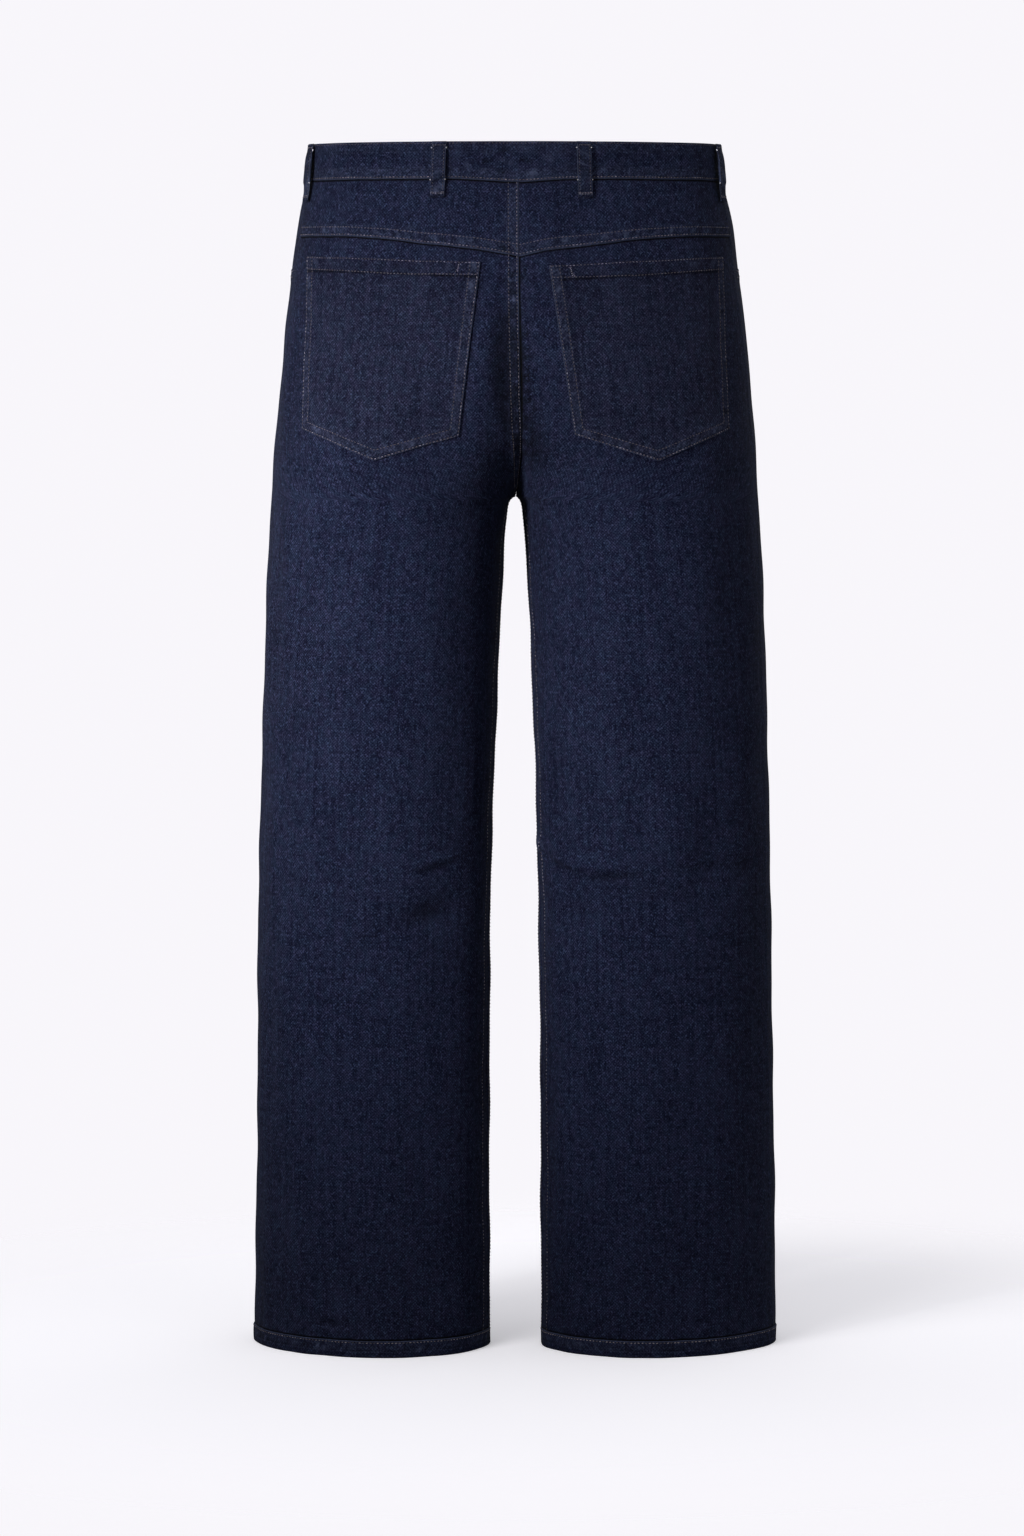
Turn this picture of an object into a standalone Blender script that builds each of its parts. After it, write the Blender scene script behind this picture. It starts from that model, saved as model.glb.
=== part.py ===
"""Wide-leg jeans, filled out and standing on their hems, one closed solid for each sewn piece.

Metres, +Z up, the floor under the hems at z = 0. The front of the jeans faces -Y and the wearer's
left is +X. Every piece is a wall laid on one shared body surface, so that neighbours follow the
same seam curve and stay a hair apart. A place on the body is a side (+1 left, -1 right), a turn
round the leg (0 outside, 90 degrees behind, 180 inside, negative in front) and a height.
"""
import math
from typing import NamedTuple

import bmesh
import bpy
from mathutils import Vector

COLLECTION = "wide_leg_jeans"

# Main sizes
HEIGHT = 1.0575
CROTCH_Z = 0.7497
HEM_HEIGHT = 0.0145
BAND_SEAM_Z = 1.0257
BAND_DIP = 0.0030
BAND_DIP_REACH = 0.035
YOKE_LEVEL_HALF = 0.193
BALANCE_Y = -0.0115
SEAM_GAP = 0.0003
PATCH_GAP = 0.0005

# Wall sizes
CLOTH = 0.0015
POCKET_CLOTH = 0.0013
PROUD = 0.0008
FOLDED_CLOTH = 0.0030
LOOP_CLOTH = 0.0020
LOOP_FOLD = 0.0010
LOOP_STANDOFF = 0.0034

# Side seam, a little behind the widest line
SIDE_SEAM_HIP = math.radians(12.0)
SIDE_SEAM_LEG = math.radians(18.0)
SIDE_SEAM_HIP_Z = 0.88
SIDE_SEAM_LEG_Z = 0.60

# Front details
SCOOP_TURN = math.radians(-47.0)
SCOOP_LOW_Z = 0.948
SCOOP_POWER = 2.6
FACING_TUCK = 0.0110
FLY_WIDTH = 0.036
FLY_EDGE = 0.0008
FLY_LOW_Z = 0.865
FLY_BEND_Z = 0.905
ZIP_HALF = 0.012
ZIP_LOW_Z = 0.901
LAP_LEFT_X = -0.004
LAP_RIGHT_X = 0.035
LAP_DIP = 0.0033
LAP_DIP_START = math.radians(256.0)
LAP_DIP_END = math.radians(267.0)
BUTTON_X = 0.014
BUTTON_Z = 1.0415
BUTTON_RADIUS = 0.0085

# Grid steps
PANEL_COLUMNS = 16
YOKE_COLUMNS = 14
YOKE_ROWS = 3
BAND_COLUMNS = 50
BAND_ROWS = 2
HEM_COLUMNS = 36
POCKET_COLUMNS = 12
POCKET_ROWS = 10
LOOP_COLUMNS = 2
FACING_COLUMNS = 11
FLY_COLUMNS = 4
BUTTON_STEPS = 16


class Section(NamedTuple):
    z: float
    outer: float
    front: float
    back: float
    power: float
    shift: float = 0.0
    lean: float = 0.0


# Half width, depth in front and behind, the power that makes a section boxy or lens-like, and how
# far it moves back as a whole and turns its inner end to the back
SECTIONS = (
    Section(z=0.0000, outer=0.2318, front=0.084, back=0.088, power=1.08, shift=0.0075, lean=0.0105),
    Section(z=0.0800, outer=0.2308, front=0.084, back=0.086, power=1.08, shift=0.0073, lean=0.0098),
    Section(z=0.1900, outer=0.2290, front=0.085, back=0.084, power=1.08, shift=0.0068, lean=0.0085),
    Section(z=0.3300, outer=0.2274, front=0.087, back=0.083, power=1.07, shift=0.0056, lean=0.0067),
    Section(z=0.4400, outer=0.2254, front=0.090, back=0.086, power=1.05, shift=0.0044, lean=0.0050),
    Section(z=0.5450, outer=0.2232, front=0.093, back=0.094, power=1.02, shift=0.0030, lean=0.0034),
    Section(z=0.6500, outer=0.2196, front=0.098, back=0.105, power=1.00, shift=0.0015, lean=0.0016),
    Section(z=0.7200, outer=0.2161, front=0.103, back=0.115, power=0.98, shift=0.0005, lean=0.0004),
    Section(z=0.7730, outer=0.2126, front=0.108, back=0.124, power=0.96),
    Section(z=0.8130, outer=0.2096, front=0.111, back=0.131, power=0.94),
    Section(z=0.8520, outer=0.2060, front=0.112, back=0.135, power=0.92),
    Section(z=0.8920, outer=0.2020, front=0.112, back=0.134, power=0.90),
    Section(z=0.9310, outer=0.1972, front=0.110, back=0.128, power=0.89),
    Section(z=0.9570, outer=0.1943, front=0.108, back=0.122, power=0.88),
    Section(z=0.9700, outer=0.1926, front=0.106, back=0.118, power=0.88),
    Section(z=0.9835, outer=0.1906, front=0.105, back=0.114, power=0.87),
    Section(z=0.9990, outer=0.1876, front=0.103, back=0.110, power=0.87),
    Section(z=1.0100, outer=0.1852, front=0.101, back=0.107, power=0.86),
    Section(z=1.0250, outer=0.1822, front=0.099, back=0.104, power=0.86),
    Section(z=1.0400, outer=0.1806, front=0.098, back=0.102, power=0.86),
    Section(z=1.0575, outer=0.1798, front=0.098, back=0.102, power=0.86),
)

# How far each half has drawn together at the centre, against the height over the crotch
CLEFT_SHARES = (
    (0.000, 1.000),
    (0.010, 0.955),
    (0.020, 0.895),
    (0.030, 0.820),
    (0.045, 0.680),
    (0.060, 0.530),
    (0.086, 0.350),
    (0.110, 0.180),
    (0.150, 0.000),
)

# Distance of the inside leg from the centre, against the depth under the crotch
INSIDE_LEG = (
    (0.000, 0.0000),
    (0.0012, 0.0022),
    (0.0046, 0.0046),
    (0.0081, 0.0056),
    (0.0150, 0.0066),
    (0.0290, 0.0082),
    (0.0650, 0.0108),
    (0.1000, 0.0129),
    (0.1710, 0.0161),
    (0.2410, 0.0184),
    (0.3120, 0.0202),
    (0.4190, 0.0221),
    (0.5970, 0.0234),
    (0.7497, 0.0232),
)

# Yoke seam height against the distance from the centre back
YOKE_SEAM = (
    (0.000, 0.9590),
    (0.026, 0.9637),
    (0.072, 0.9692),
    (0.120, 0.9748),
    (0.155, 0.9768),
    (0.193, 0.9774),
)


class Fold(NamedTuple):
    side: int
    turn: float
    z: float
    reach: float
    width: float
    lean: float
    rise: float


# Creases in the cloth: middle, half reach, half width, lean from level and rise off the surface
FOLDS = (
    Fold(side=-1, turn=90.0, z=0.409, reach=0.078, width=0.0110, lean=2.0, rise=-0.0024),
    Fold(side=-1, turn=84.0, z=0.432, reach=0.070, width=0.0130, lean=-3.0, rise=0.0014),
    Fold(side=-1, turn=146.0, z=0.424, reach=0.036, width=0.0100, lean=26.0, rise=-0.0022),
    Fold(side=-1, turn=40.0, z=0.428, reach=0.030, width=0.0120, lean=-18.0, rise=-0.0013),
    Fold(side=1, turn=136.0, z=0.421, reach=0.044, width=0.0120, lean=20.0, rise=-0.0022),
    Fold(side=1, turn=112.0, z=0.400, reach=0.050, width=0.0130, lean=6.0, rise=0.0011),
    Fold(side=1, turn=44.0, z=0.414, reach=0.036, width=0.0130, lean=-12.0, rise=-0.0012),
    Fold(side=1, turn=-62.0, z=0.404, reach=0.060, width=0.0140, lean=9.0, rise=-0.0018),
    Fold(side=-1, turn=-110.0, z=0.418, reach=0.055, width=0.0140, lean=12.0, rise=-0.0016),
)

LEG_HEIGHTS = (0.120, 0.240, 0.340, 0.378, 0.394, 0.408, 0.421, 0.434, 0.452, 0.540, 0.640, 0.710, 0.740)
CROTCH_STEPS = (-0.0030, 0.0, 0.0045, 0.013, 0.026, 0.044, 0.066, 0.088, 0.108, 0.129, 0.150)
BACK_TOP_SHARES = (0.36, 0.70, 1.0)
FACING_STEPS = (-0.030, -0.014, 0.002, 0.013)
FACING_TOP_SHARES = (0.5, 1.0)
FRONT_TOP_SHARES = (0.25, 0.50, 0.75, 1.0)


class Corner(NamedTuple):
    x: float
    z: float


class Pocket(NamedTuple):
    mouth_out: Corner
    mouth_in: Corner
    foot_in: Corner
    tip: Corner
    foot_out: Corner


# Back pocket outlines by side, as distances from the centre; the wearer's right sits a little
# lower at its inner end
POCKETS = {
    1: Pocket(
        mouth_out=Corner(x=0.1786, z=0.9592),
        mouth_in=Corner(x=0.0302, z=0.9531),
        foot_in=Corner(x=0.0486, z=0.8058),
        tip=Corner(x=0.1212, z=0.7837),
        foot_out=Corner(x=0.1833, z=0.8101),
    ),
    -1: Pocket(
        mouth_out=Corner(x=0.1790, z=0.9590),
        mouth_in=Corner(x=0.0280, z=0.9500),
        foot_in=Corner(x=0.0511, z=0.8065),
        tip=Corner(x=0.1233, z=0.7832),
        foot_out=Corner(x=0.1844, z=0.8100),
    ),
}


class Loop(NamedTuple):
    name: str
    left_turn: float
    right_turn: float
    width: float
    low_z: float


LOOPS = (
    Loop(name="belt_loop_back", left_turn=68.9, right_turn=71.0, width=0.0126, low_z=1.0085),
    Loop(name="belt_loop_side", left_turn=14.0, right_turn=14.0, width=0.0126, low_z=1.0070),
    Loop(name="belt_loop_front", left_turn=-58.0, right_turn=-58.0, width=0.0126, low_z=1.0085),
)

# Along a loop from top to bottom: share of its length, standoff share and fold share
LOOP_PROFILE = (
    (0.00, 0.0, 1.0),
    (0.10, 0.0, 1.0),
    (0.22, 0.75, 0.3),
    (0.36, 1.0, 0.0),
    (0.56, 1.0, 0.0),
    (0.72, 0.85, 0.0),
    (0.84, 0.30, 0.3),
    (0.91, 0.0, 1.0),
    (1.00, 0.0, 1.0),
)

# Cloth and metal colours, as linear red, green and blue with roughness and metal
SURFACES = {
    "denim": ((0.020, 0.024, 0.055), 0.90, 0.0),
    "pocket_denim": ((0.024, 0.027, 0.052), 0.90, 0.0),
    "zip_tape": ((0.015, 0.016, 0.030), 0.85, 0.0),
    "button_metal": ((0.360, 0.250, 0.140), 0.42, 1.0),
}


# Waist button: radius and height of its turned outline, from the top's middle to the foot's
BUTTON_PROFILE = (
    (0.0, 0.0024),
    (0.0054, 0.0022),
    (0.0062, 0.0026),
    (BUTTON_RADIUS - 0.0006, 0.0023),
    (BUTTON_RADIUS, 0.0016),
    (BUTTON_RADIUS - 0.0004, 0.0010),
    (0.0045, 0.0008),
    (0.0045, 0.0),
    (0.0, 0.0),
)


class Curve:
    """A smooth curve through (position, value) rows that never overshoots them."""

    def __init__(self, rows):
        self.at = [row[0] for row in rows]
        self.value = [row[1] for row in rows]
        steps = [b - a for a, b in zip(self.at, self.at[1:])]
        rates = [(b - a) / s for a, b, s in zip(self.value, self.value[1:], steps)]
        self.slope = [rates[0]]
        for before, after in zip(rates, rates[1:]):
            level = before * after <= 0.0
            self.slope.append(0.0 if level else 2.0 * before * after / (before + after))
        self.slope.append(rates[-1])

    def __call__(self, position):
        if position <= self.at[0]:
            return self.value[0]
        if position >= self.at[-1]:
            return self.value[-1]
        i = next(k for k in range(len(self.at) - 1) if position <= self.at[k + 1])
        step = self.at[i + 1] - self.at[i]
        t = (position - self.at[i]) / step
        rise = self.value[i + 1] - self.value[i]
        start = self.slope[i] * step
        end = self.slope[i + 1] * step
        return self.value[i] + t * (start + t * (3 * rise - 2 * start - end + t * (start + end - 2 * rise)))


OUTER = Curve([(s.z, s.outer) for s in SECTIONS])
FRONT = Curve([(s.z, s.front) for s in SECTIONS])
BACK = Curve([(s.z, s.back) for s in SECTIONS])
POWER = Curve([(s.z, s.power) for s in SECTIONS])
SHIFT = Curve([(s.z, s.shift) for s in SECTIONS])
LEAN = Curve([(s.z, s.lean) for s in SECTIONS])
CLEFT = Curve(CLEFT_SHARES)
INSIDE = Curve(INSIDE_LEG)
YOKE = Curve(YOKE_SEAM)


def smooth_step(start, end, position):
    t = min(max((position - start) / (end - start), 0.0), 1.0)
    return t * t * (3.0 - 2.0 * t)


def blend(a, b, share):
    return a + (b - a) * share


def shares(count):
    return [i / count for i in range(count + 1)]


# Body surface

def leg_span(z):
    """Middle and half width of one half's section at this height."""
    outer = OUTER(z)
    if z >= CROTCH_Z:
        share = CLEFT(z - CROTCH_Z)
        half = outer / (1.0 + share)
        return share * half, half
    inner = INSIDE(CROTCH_Z - z)
    return (outer + inner) / 2.0, (outer - inner) / 2.0


def body_point(side, turn, z):
    middle, half = leg_span(z)
    sine = math.sin(turn)
    depth = (BACK(z) if sine >= 0.0 else FRONT(z)) * abs(sine) ** POWER(z)
    y = BALANCE_Y + SHIFT(z) - LEAN(z) * math.cos(turn) + math.copysign(depth, sine)
    return Vector((side * (middle + half * math.cos(turn)), y, z))


def body_normal(side, turn, z):
    step_turn = 0.004
    step_z = 0.001
    low = max(z - step_z, 0.0)
    high = min(z + step_z, HEIGHT)
    round_it = body_point(side, turn + step_turn, z) - body_point(side, turn - step_turn, z)
    up_it = body_point(side, turn, high) - body_point(side, turn, low)
    return side * round_it.cross(up_it).normalized()


def fold_rise(side, turn, z):
    """How far the creases lift the cloth off the plain surface here."""
    middle, half = leg_span(z)
    rise = 0.0
    for fold in FOLDS:
        if fold.side != side or abs(z - fold.z) > 0.08:
            continue
        along = (turn - math.radians(fold.turn)) * half
        lean = math.radians(fold.lean)
        ahead = along * math.cos(lean) + (z - fold.z) * math.sin(lean)
        across = (z - fold.z) * math.cos(lean) - along * math.sin(lean)
        if abs(ahead) < fold.reach:
            fade = math.cos(0.5 * math.pi * ahead / fold.reach) ** 2
            rise += fold.rise * fade * math.exp(-((across / fold.width) ** 2))
    return rise


def on_body(side, turn, z, lift):
    """A point of a wall, lifted off the body. The hem's foot and the band's top are cut level."""
    out = body_normal(side, turn, z) * (lift + fold_rise(side, turn, z))
    if z <= 0.0 or z >= HEIGHT:
        out.z = 0.0
    return body_point(side, turn, z) + out


def turn_at(x, z):
    """Turn on the back of a half where it is this far from the centre."""
    middle, half = leg_span(z)
    return math.acos(min(max((x - middle) / half, -1.0), 1.0))


# Seam curves

def side_seam(z):
    return blend(SIDE_SEAM_LEG, SIDE_SEAM_HIP, smooth_step(SIDE_SEAM_LEG_Z, SIDE_SEAM_HIP_Z, z))


def reach_of_turn(turn, z):
    """Length along the cloth for each radian of turn at this place."""
    step = 0.01
    return (body_point(1, turn + step, z) - body_point(1, turn - step, z)).length / (2.0 * step)


def seam_back_off(turn, z):
    """Half the seam gap as a turn at this place."""
    return 0.5 * SEAM_GAP / reach_of_turn(turn, z)


def inner_edge(z):
    """Turn of the centre seam over the crotch, or of the inside leg seam under it."""
    middle, half = leg_span(z)
    centre = math.acos(max((0.5 * SEAM_GAP - middle) / half, -1.0))
    return min(centre, math.pi - seam_back_off(math.pi, z))


def yoke_seam(turn):
    return YOKE(YOKE_LEVEL_HALF * max(math.cos(turn), 0.0))


def band_seam(turn):
    x = OUTER(BAND_SEAM_Z) * math.cos(turn)
    dip = BAND_DIP * math.exp(-((x / BAND_DIP_REACH) ** 2)) if math.sin(turn) > 0.0 else 0.0
    return BAND_SEAM_Z - dip


def scoop(turn):
    """Height of the front panel's top edge, lowered where the pocket opening scoops it out."""
    share = min((SIDE_SEAM_HIP - turn) / (SIDE_SEAM_HIP - SCOOP_TURN), 1.0)
    return blend(SCOOP_LOW_Z, BAND_SEAM_Z, share ** SCOOP_POWER)


# Walls

class Site(NamedTuple):
    side: int
    turn: float
    z: float
    lift: float
    thick: float


def add_object(name, mesh, surface, collection):
    colour, roughness, metal = SURFACES[surface]
    material = bpy.data.materials.new(name + "_" + surface)
    material.use_nodes = True
    shader = material.node_tree.nodes["Principled BSDF"]
    shader.inputs["Base Color"].default_value = (*colour, 1.0)
    shader.inputs["Roughness"].default_value = roughness
    shader.inputs["Metallic"].default_value = metal
    mesh.materials.append(material)
    piece = bpy.data.objects.new(name, mesh)
    collection.objects.link(piece)
    return piece


def finish_mesh(name, shape):
    bmesh.ops.triangulate(shape, faces=shape.faces[:])
    bmesh.ops.recalc_face_normals(shape, faces=shape.faces[:])
    mesh = bpy.data.meshes.new(name)
    shape.to_mesh(mesh)
    shape.free()
    for face in mesh.polygons:
        face.use_smooth = True
    mesh.set_sharp_from_angle(angle=math.radians(40.0))
    return mesh


def wall(name, rows, surface, collection, ring=False):
    """A closed wall between the outer and inner points of a grid of sites."""
    shape = bmesh.new()
    outside = []
    inside = []
    for row in rows:
        outside.append([shape.verts.new(on_body(s.side, s.turn, s.z, s.lift)) for s in row])
        inside.append([shape.verts.new(on_body(s.side, s.turn, s.z, s.lift - s.thick)) for s in row])
    last_row = len(rows) - 1
    last_column = len(rows[0]) - 1
    pairs = [(j, j + 1) for j in range(last_column)]
    if ring:
        pairs.append((last_column, 0))
    for i in range(last_row):
        for j, k in pairs:
            shape.faces.new((outside[i][j], outside[i][k], outside[i + 1][k], outside[i + 1][j]))
            shape.faces.new((inside[i + 1][j], inside[i + 1][k], inside[i][k], inside[i][j]))
    for j, k in pairs:
        shape.faces.new((outside[0][k], outside[0][j], inside[0][j], inside[0][k]))
        shape.faces.new((outside[-1][j], outside[-1][k], inside[-1][k], inside[-1][j]))
    if not ring:
        for i in range(last_row):
            shape.faces.new((outside[i][0], outside[i + 1][0], inside[i + 1][0], inside[i][0]))
            shape.faces.new(
                (outside[i + 1][last_column], outside[i][last_column], inside[i][last_column],
                 inside[i + 1][last_column]))
    return add_object(name, finish_mesh(name, shape), surface, collection)


def side_name(stem, side):
    return stem + ("_left" if side > 0 else "_right")


# Panels

def panel_heights():
    return [HEM_HEIGHT + SEAM_GAP, *LEG_HEIGHTS, *(CROTCH_Z + step for step in CROTCH_STEPS)]


def centre_front_heights(low, high):
    """The front panels' own row heights at the centre between two ends, which are kept."""
    plain = panel_heights()
    top = BAND_SEAM_Z - 0.5 * SEAM_GAP
    rows = plain + [blend(plain[-1], top, share) for share in FRONT_TOP_SHARES]
    return [low, *(z for z in rows if low + 0.002 < z < high - 0.002), high]


def back_panel(side, collection):
    rows = []
    for z in panel_heights():
        start = side_seam(z) + seam_back_off(side_seam(z), z)
        end = inner_edge(z)
        rows.append([Site(side, blend(start, end, u), z, 0.0, CLOTH) for u in shares(PANEL_COLUMNS)])
    blend_row = rows[-1]
    for share in BACK_TOP_SHARES:
        row = []
        for site in blend_row:
            top = yoke_seam(site.turn) - 0.5 * SEAM_GAP
            row.append(site._replace(z=blend(site.z, top, share)))
        rows.append(row)
    return wall(side_name("back_panel", side), rows, "denim", collection)


def front_rows(side):
    rows = []
    for z in panel_heights():
        start = side_seam(z) - seam_back_off(side_seam(z), z)
        end = -inner_edge(z)
        rows.append([Site(side, blend(start, end, u), z, 0.0, CLOTH) for u in shares(PANEL_COLUMNS)])
    blend_row = rows[-1]
    for share in FRONT_TOP_SHARES:
        row = []
        for site in blend_row:
            top = scoop(site.turn) - 0.5 * SEAM_GAP
            row.append(site._replace(z=blend(site.z, top, share)))
        rows.append(row)
    return rows


def front_panel(side, collection):
    return wall(side_name("front_panel", side), front_rows(side), "denim", collection)


def facing(side, collection):
    """The pocket facing: level with the side seam, tucked behind the front panel's scooped edge."""
    top = BAND_SEAM_Z - 0.5 * SEAM_GAP
    turns = [site.turn for site in front_rows(side)[-1]][:FACING_COLUMNS + 1]
    last = len(FACING_STEPS) - 1
    rows = []
    for k, step in enumerate(FACING_STEPS):
        limit = top - 0.0012 * (last - k + len(FACING_TOP_SHARES))
        rows.append([(turn, min(scoop(turn) + step, limit)) for turn in turns])
    tuck_row = rows[-1]
    for share in FACING_TOP_SHARES:
        rows.append([(turn, blend(z, top, share)) for turn, z in tuck_row])
    sites = []
    for row in rows:
        line = []
        for turn, z in row:
            tuck = 1.0 - smooth_step(FACING_STEPS[2], FACING_STEPS[2] + FACING_TUCK, z - scoop(turn))
            line.append(Site(side, turn, z, -tuck * (CLOTH + PATCH_GAP), POCKET_CLOTH))
        sites.append(line)
    return wall(side_name("front_pocket_facing", side), sites, "denim", collection)


def yoke(side, collection):
    z_mid = 1.0
    start = SIDE_SEAM_HIP + seam_back_off(SIDE_SEAM_HIP, z_mid)
    rows = []
    for v in shares(YOKE_ROWS):
        row = []
        for u in shares(YOKE_COLUMNS):
            turn = blend(start, inner_edge(z_mid), u)
            low = yoke_seam(turn) + 0.5 * SEAM_GAP
            high = band_seam(turn) - 0.5 * SEAM_GAP
            row.append(Site(side, turn, blend(low, high, v), 0.0, CLOTH))
        rows.append(row)
    return wall(side_name("back_yoke", side), rows, "denim", collection)


def waistband(collection):
    """One band that starts at the lap's upper end and goes round by the back to its under end."""
    half = OUTER(BAND_SEAM_Z)
    start = -math.acos(LAP_LEFT_X / half)
    end = 2.0 * math.pi - math.acos(LAP_RIGHT_X / half)
    rows = []
    for v in shares(BAND_ROWS):
        row = []
        for u in shares(BAND_COLUMNS):
            turn = blend(start, end, u)
            z = blend(band_seam(turn) + 0.5 * SEAM_GAP, HEIGHT, v)
            lift = PROUD - LAP_DIP * smooth_step(LAP_DIP_START, LAP_DIP_END, turn)
            row.append(Site(1, turn, z, lift, FOLDED_CLOTH))
        rows.append(row)
    return wall("waistband", rows, "denim", collection)


def hem(side, collection):
    rows = []
    for z in (0.0, HEM_HEIGHT):
        turns = [blend(-math.pi, math.pi, i / HEM_COLUMNS) for i in range(HEM_COLUMNS)]
        rows.append([Site(side, turn, z, PROUD, FOLDED_CLOTH) for turn in turns])
    return wall(side_name("hem", side), rows, "denim", collection, ring=True)


# Pieces laid on the panels

def back_pocket(side, collection):
    pocket = POCKETS[side]
    foot_share = 0.5
    rows = []
    for v in shares(POCKET_ROWS):
        row = []
        for u in shares(POCKET_COLUMNS):
            top_x = blend(pocket.mouth_out.x, pocket.mouth_in.x, u)
            top_z = blend(pocket.mouth_out.z, pocket.mouth_in.z, u)
            if u <= foot_share:
                start, end, part = pocket.foot_out, pocket.tip, u / foot_share
            else:
                start, end, part = pocket.tip, pocket.foot_in, (u - foot_share) / (1.0 - foot_share)
            x = blend(blend(start.x, end.x, part), top_x, v)
            z = blend(blend(start.z, end.z, part), top_z, v)
            row.append(Site(side, turn_at(x, z), z, PATCH_GAP + POCKET_CLOTH, POCKET_CLOTH))
        rows.append(row)
    return wall(side_name("back_pocket", side), rows, "pocket_denim", collection)


def belt_loop(loop, side, collection):
    middle = math.radians(loop.left_turn if side > 0 else loop.right_turn)
    spread = 0.5 * loop.width / reach_of_turn(middle, BAND_SEAM_Z)
    band_share = (HEIGHT - BAND_SEAM_Z) / (HEIGHT - loop.low_z)
    rows = []
    for share, stand, fold in LOOP_PROFILE:
        base = PROUD if share < band_share + 0.08 else 0.0
        inner = base + PATCH_GAP + stand * LOOP_STANDOFF
        thick = LOOP_CLOTH + fold * LOOP_FOLD
        z = blend(HEIGHT, loop.low_z, share)
        row = []
        for u in shares(LOOP_COLUMNS):
            row.append(Site(side, middle + blend(-spread, spread, u), z, inner + thick, thick))
        rows.append(row)
    return wall(side_name(loop.name, side), rows, "denim", collection)


def fly_lap(collection):
    """The lap on the wearer's left of the centre front, rounded in at its foot."""
    heights = centre_front_heights(FLY_BEND_Z, BAND_SEAM_Z - 0.5 * SEAM_GAP)
    curve = [blend(FLY_LOW_Z, FLY_BEND_Z, v) for v in (0.0, 0.05, 0.16, 0.34, 0.60)]
    rows = []
    for z in curve + heights:
        bend = min((FLY_BEND_Z - z) / (FLY_BEND_Z - FLY_LOW_Z), 1.0)
        width = FLY_WIDTH if bend <= 0.0 else blend(0.004, FLY_WIDTH, math.sqrt(1.0 - bend * bend))
        row = []
        for u in shares(FLY_COLUMNS):
            turn = -turn_at(blend(FLY_EDGE, FLY_EDGE + width, u), z)
            row.append(Site(1, turn, z, PATCH_GAP + POCKET_CLOTH, POCKET_CLOTH))
        rows.append(row)
    return wall("fly_lap", rows, "denim", collection)


def fly_zip(collection):
    rows = []
    for z in centre_front_heights(ZIP_LOW_Z, BAND_SEAM_Z - 0.003):
        row = []
        for u in shares(4):
            x = blend(-ZIP_HALF, ZIP_HALF, u)
            row.append(Site(1, -turn_at(x, z), z, -CLOTH - PATCH_GAP, POCKET_CLOTH))
        rows.append(row)
    return wall("fly_zip", rows, "zip_tape", collection)


def waist_button(collection):
    """A domed button turned about its own axis and set on the lap, facing the front."""
    turn = -math.acos(BUTTON_X / OUTER(BUTTON_Z))
    mesh = bpy.data.meshes.new("waist_button")
    edges = [(i, i + 1) for i in range(len(BUTTON_PROFILE) - 1)]
    mesh.from_pydata([(radius, 0.0, height) for radius, height in BUTTON_PROFILE], edges, [])
    button = add_object("waist_button", mesh, "button_metal", collection)
    button.location = on_body(1, turn, BUTTON_Z, PROUD + PATCH_GAP)
    button.rotation_mode = "QUATERNION"
    button.rotation_quaternion = body_normal(1, turn, BUTTON_Z).to_track_quat("Z", "Y")
    screw = button.modifiers.new("turn", "SCREW")
    screw.axis = "Z"
    screw.steps = BUTTON_STEPS
    screw.render_steps = BUTTON_STEPS
    screw.use_merge_vertices = True
    screw.merge_threshold = 0.00001
    screw.use_normal_calculate = True
    return button


def clear_scene():
    for item in list(bpy.data.objects):
        bpy.data.objects.remove(item, do_unlink=True)


def main():
    clear_scene()
    collection = bpy.data.collections.new(COLLECTION)
    bpy.context.scene.collection.children.link(collection)
    for side in (1, -1):
        back_panel(side, collection)
        front_panel(side, collection)
        facing(side, collection)
        yoke(side, collection)
        hem(side, collection)
        back_pocket(side, collection)
        for loop in LOOPS:
            belt_loop(loop, side, collection)
    waistband(collection)
    fly_lap(collection)
    fly_zip(collection)
    waist_button(collection)


main()
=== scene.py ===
"""Wide-leg jeans in dark indigo denim: thin cloth shells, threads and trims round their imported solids.

Metres, +Z up, the floor under the hems at z = 0. The front of the jeans faces -Y and the wearer's
left is +X. A place on the body is a side (+1 left, -1 right), a turn round the leg (0 outside,
90 degrees behind, 180 inside, negative in front) and a height.
"""
import math
from typing import NamedTuple

import bpy
import numpy as np
from bpy.props import FloatProperty, FloatVectorProperty, PointerProperty
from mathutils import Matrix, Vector


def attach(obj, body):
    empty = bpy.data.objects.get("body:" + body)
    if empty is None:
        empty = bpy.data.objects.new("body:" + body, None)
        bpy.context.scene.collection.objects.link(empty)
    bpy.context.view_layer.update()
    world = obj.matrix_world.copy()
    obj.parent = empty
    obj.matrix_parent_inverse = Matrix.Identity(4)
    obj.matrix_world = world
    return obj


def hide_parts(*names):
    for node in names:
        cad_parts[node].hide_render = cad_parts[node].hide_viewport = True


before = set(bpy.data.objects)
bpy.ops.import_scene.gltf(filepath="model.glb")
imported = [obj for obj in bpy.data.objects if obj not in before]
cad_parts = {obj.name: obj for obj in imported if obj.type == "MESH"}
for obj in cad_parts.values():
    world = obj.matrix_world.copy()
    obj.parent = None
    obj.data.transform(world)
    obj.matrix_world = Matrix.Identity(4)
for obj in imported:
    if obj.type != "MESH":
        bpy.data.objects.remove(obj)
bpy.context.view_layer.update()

bl_info = {
    "name": "Wide-leg jeans",
    "version": (1, 0, 0),
    "blender": (4, 5, 0),
    "location": "View3D > Sidebar > Jeans",
    "description": "Builds wide-leg denim jeans piece by piece round their packed solids",
    "category": "Object",
}

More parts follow.
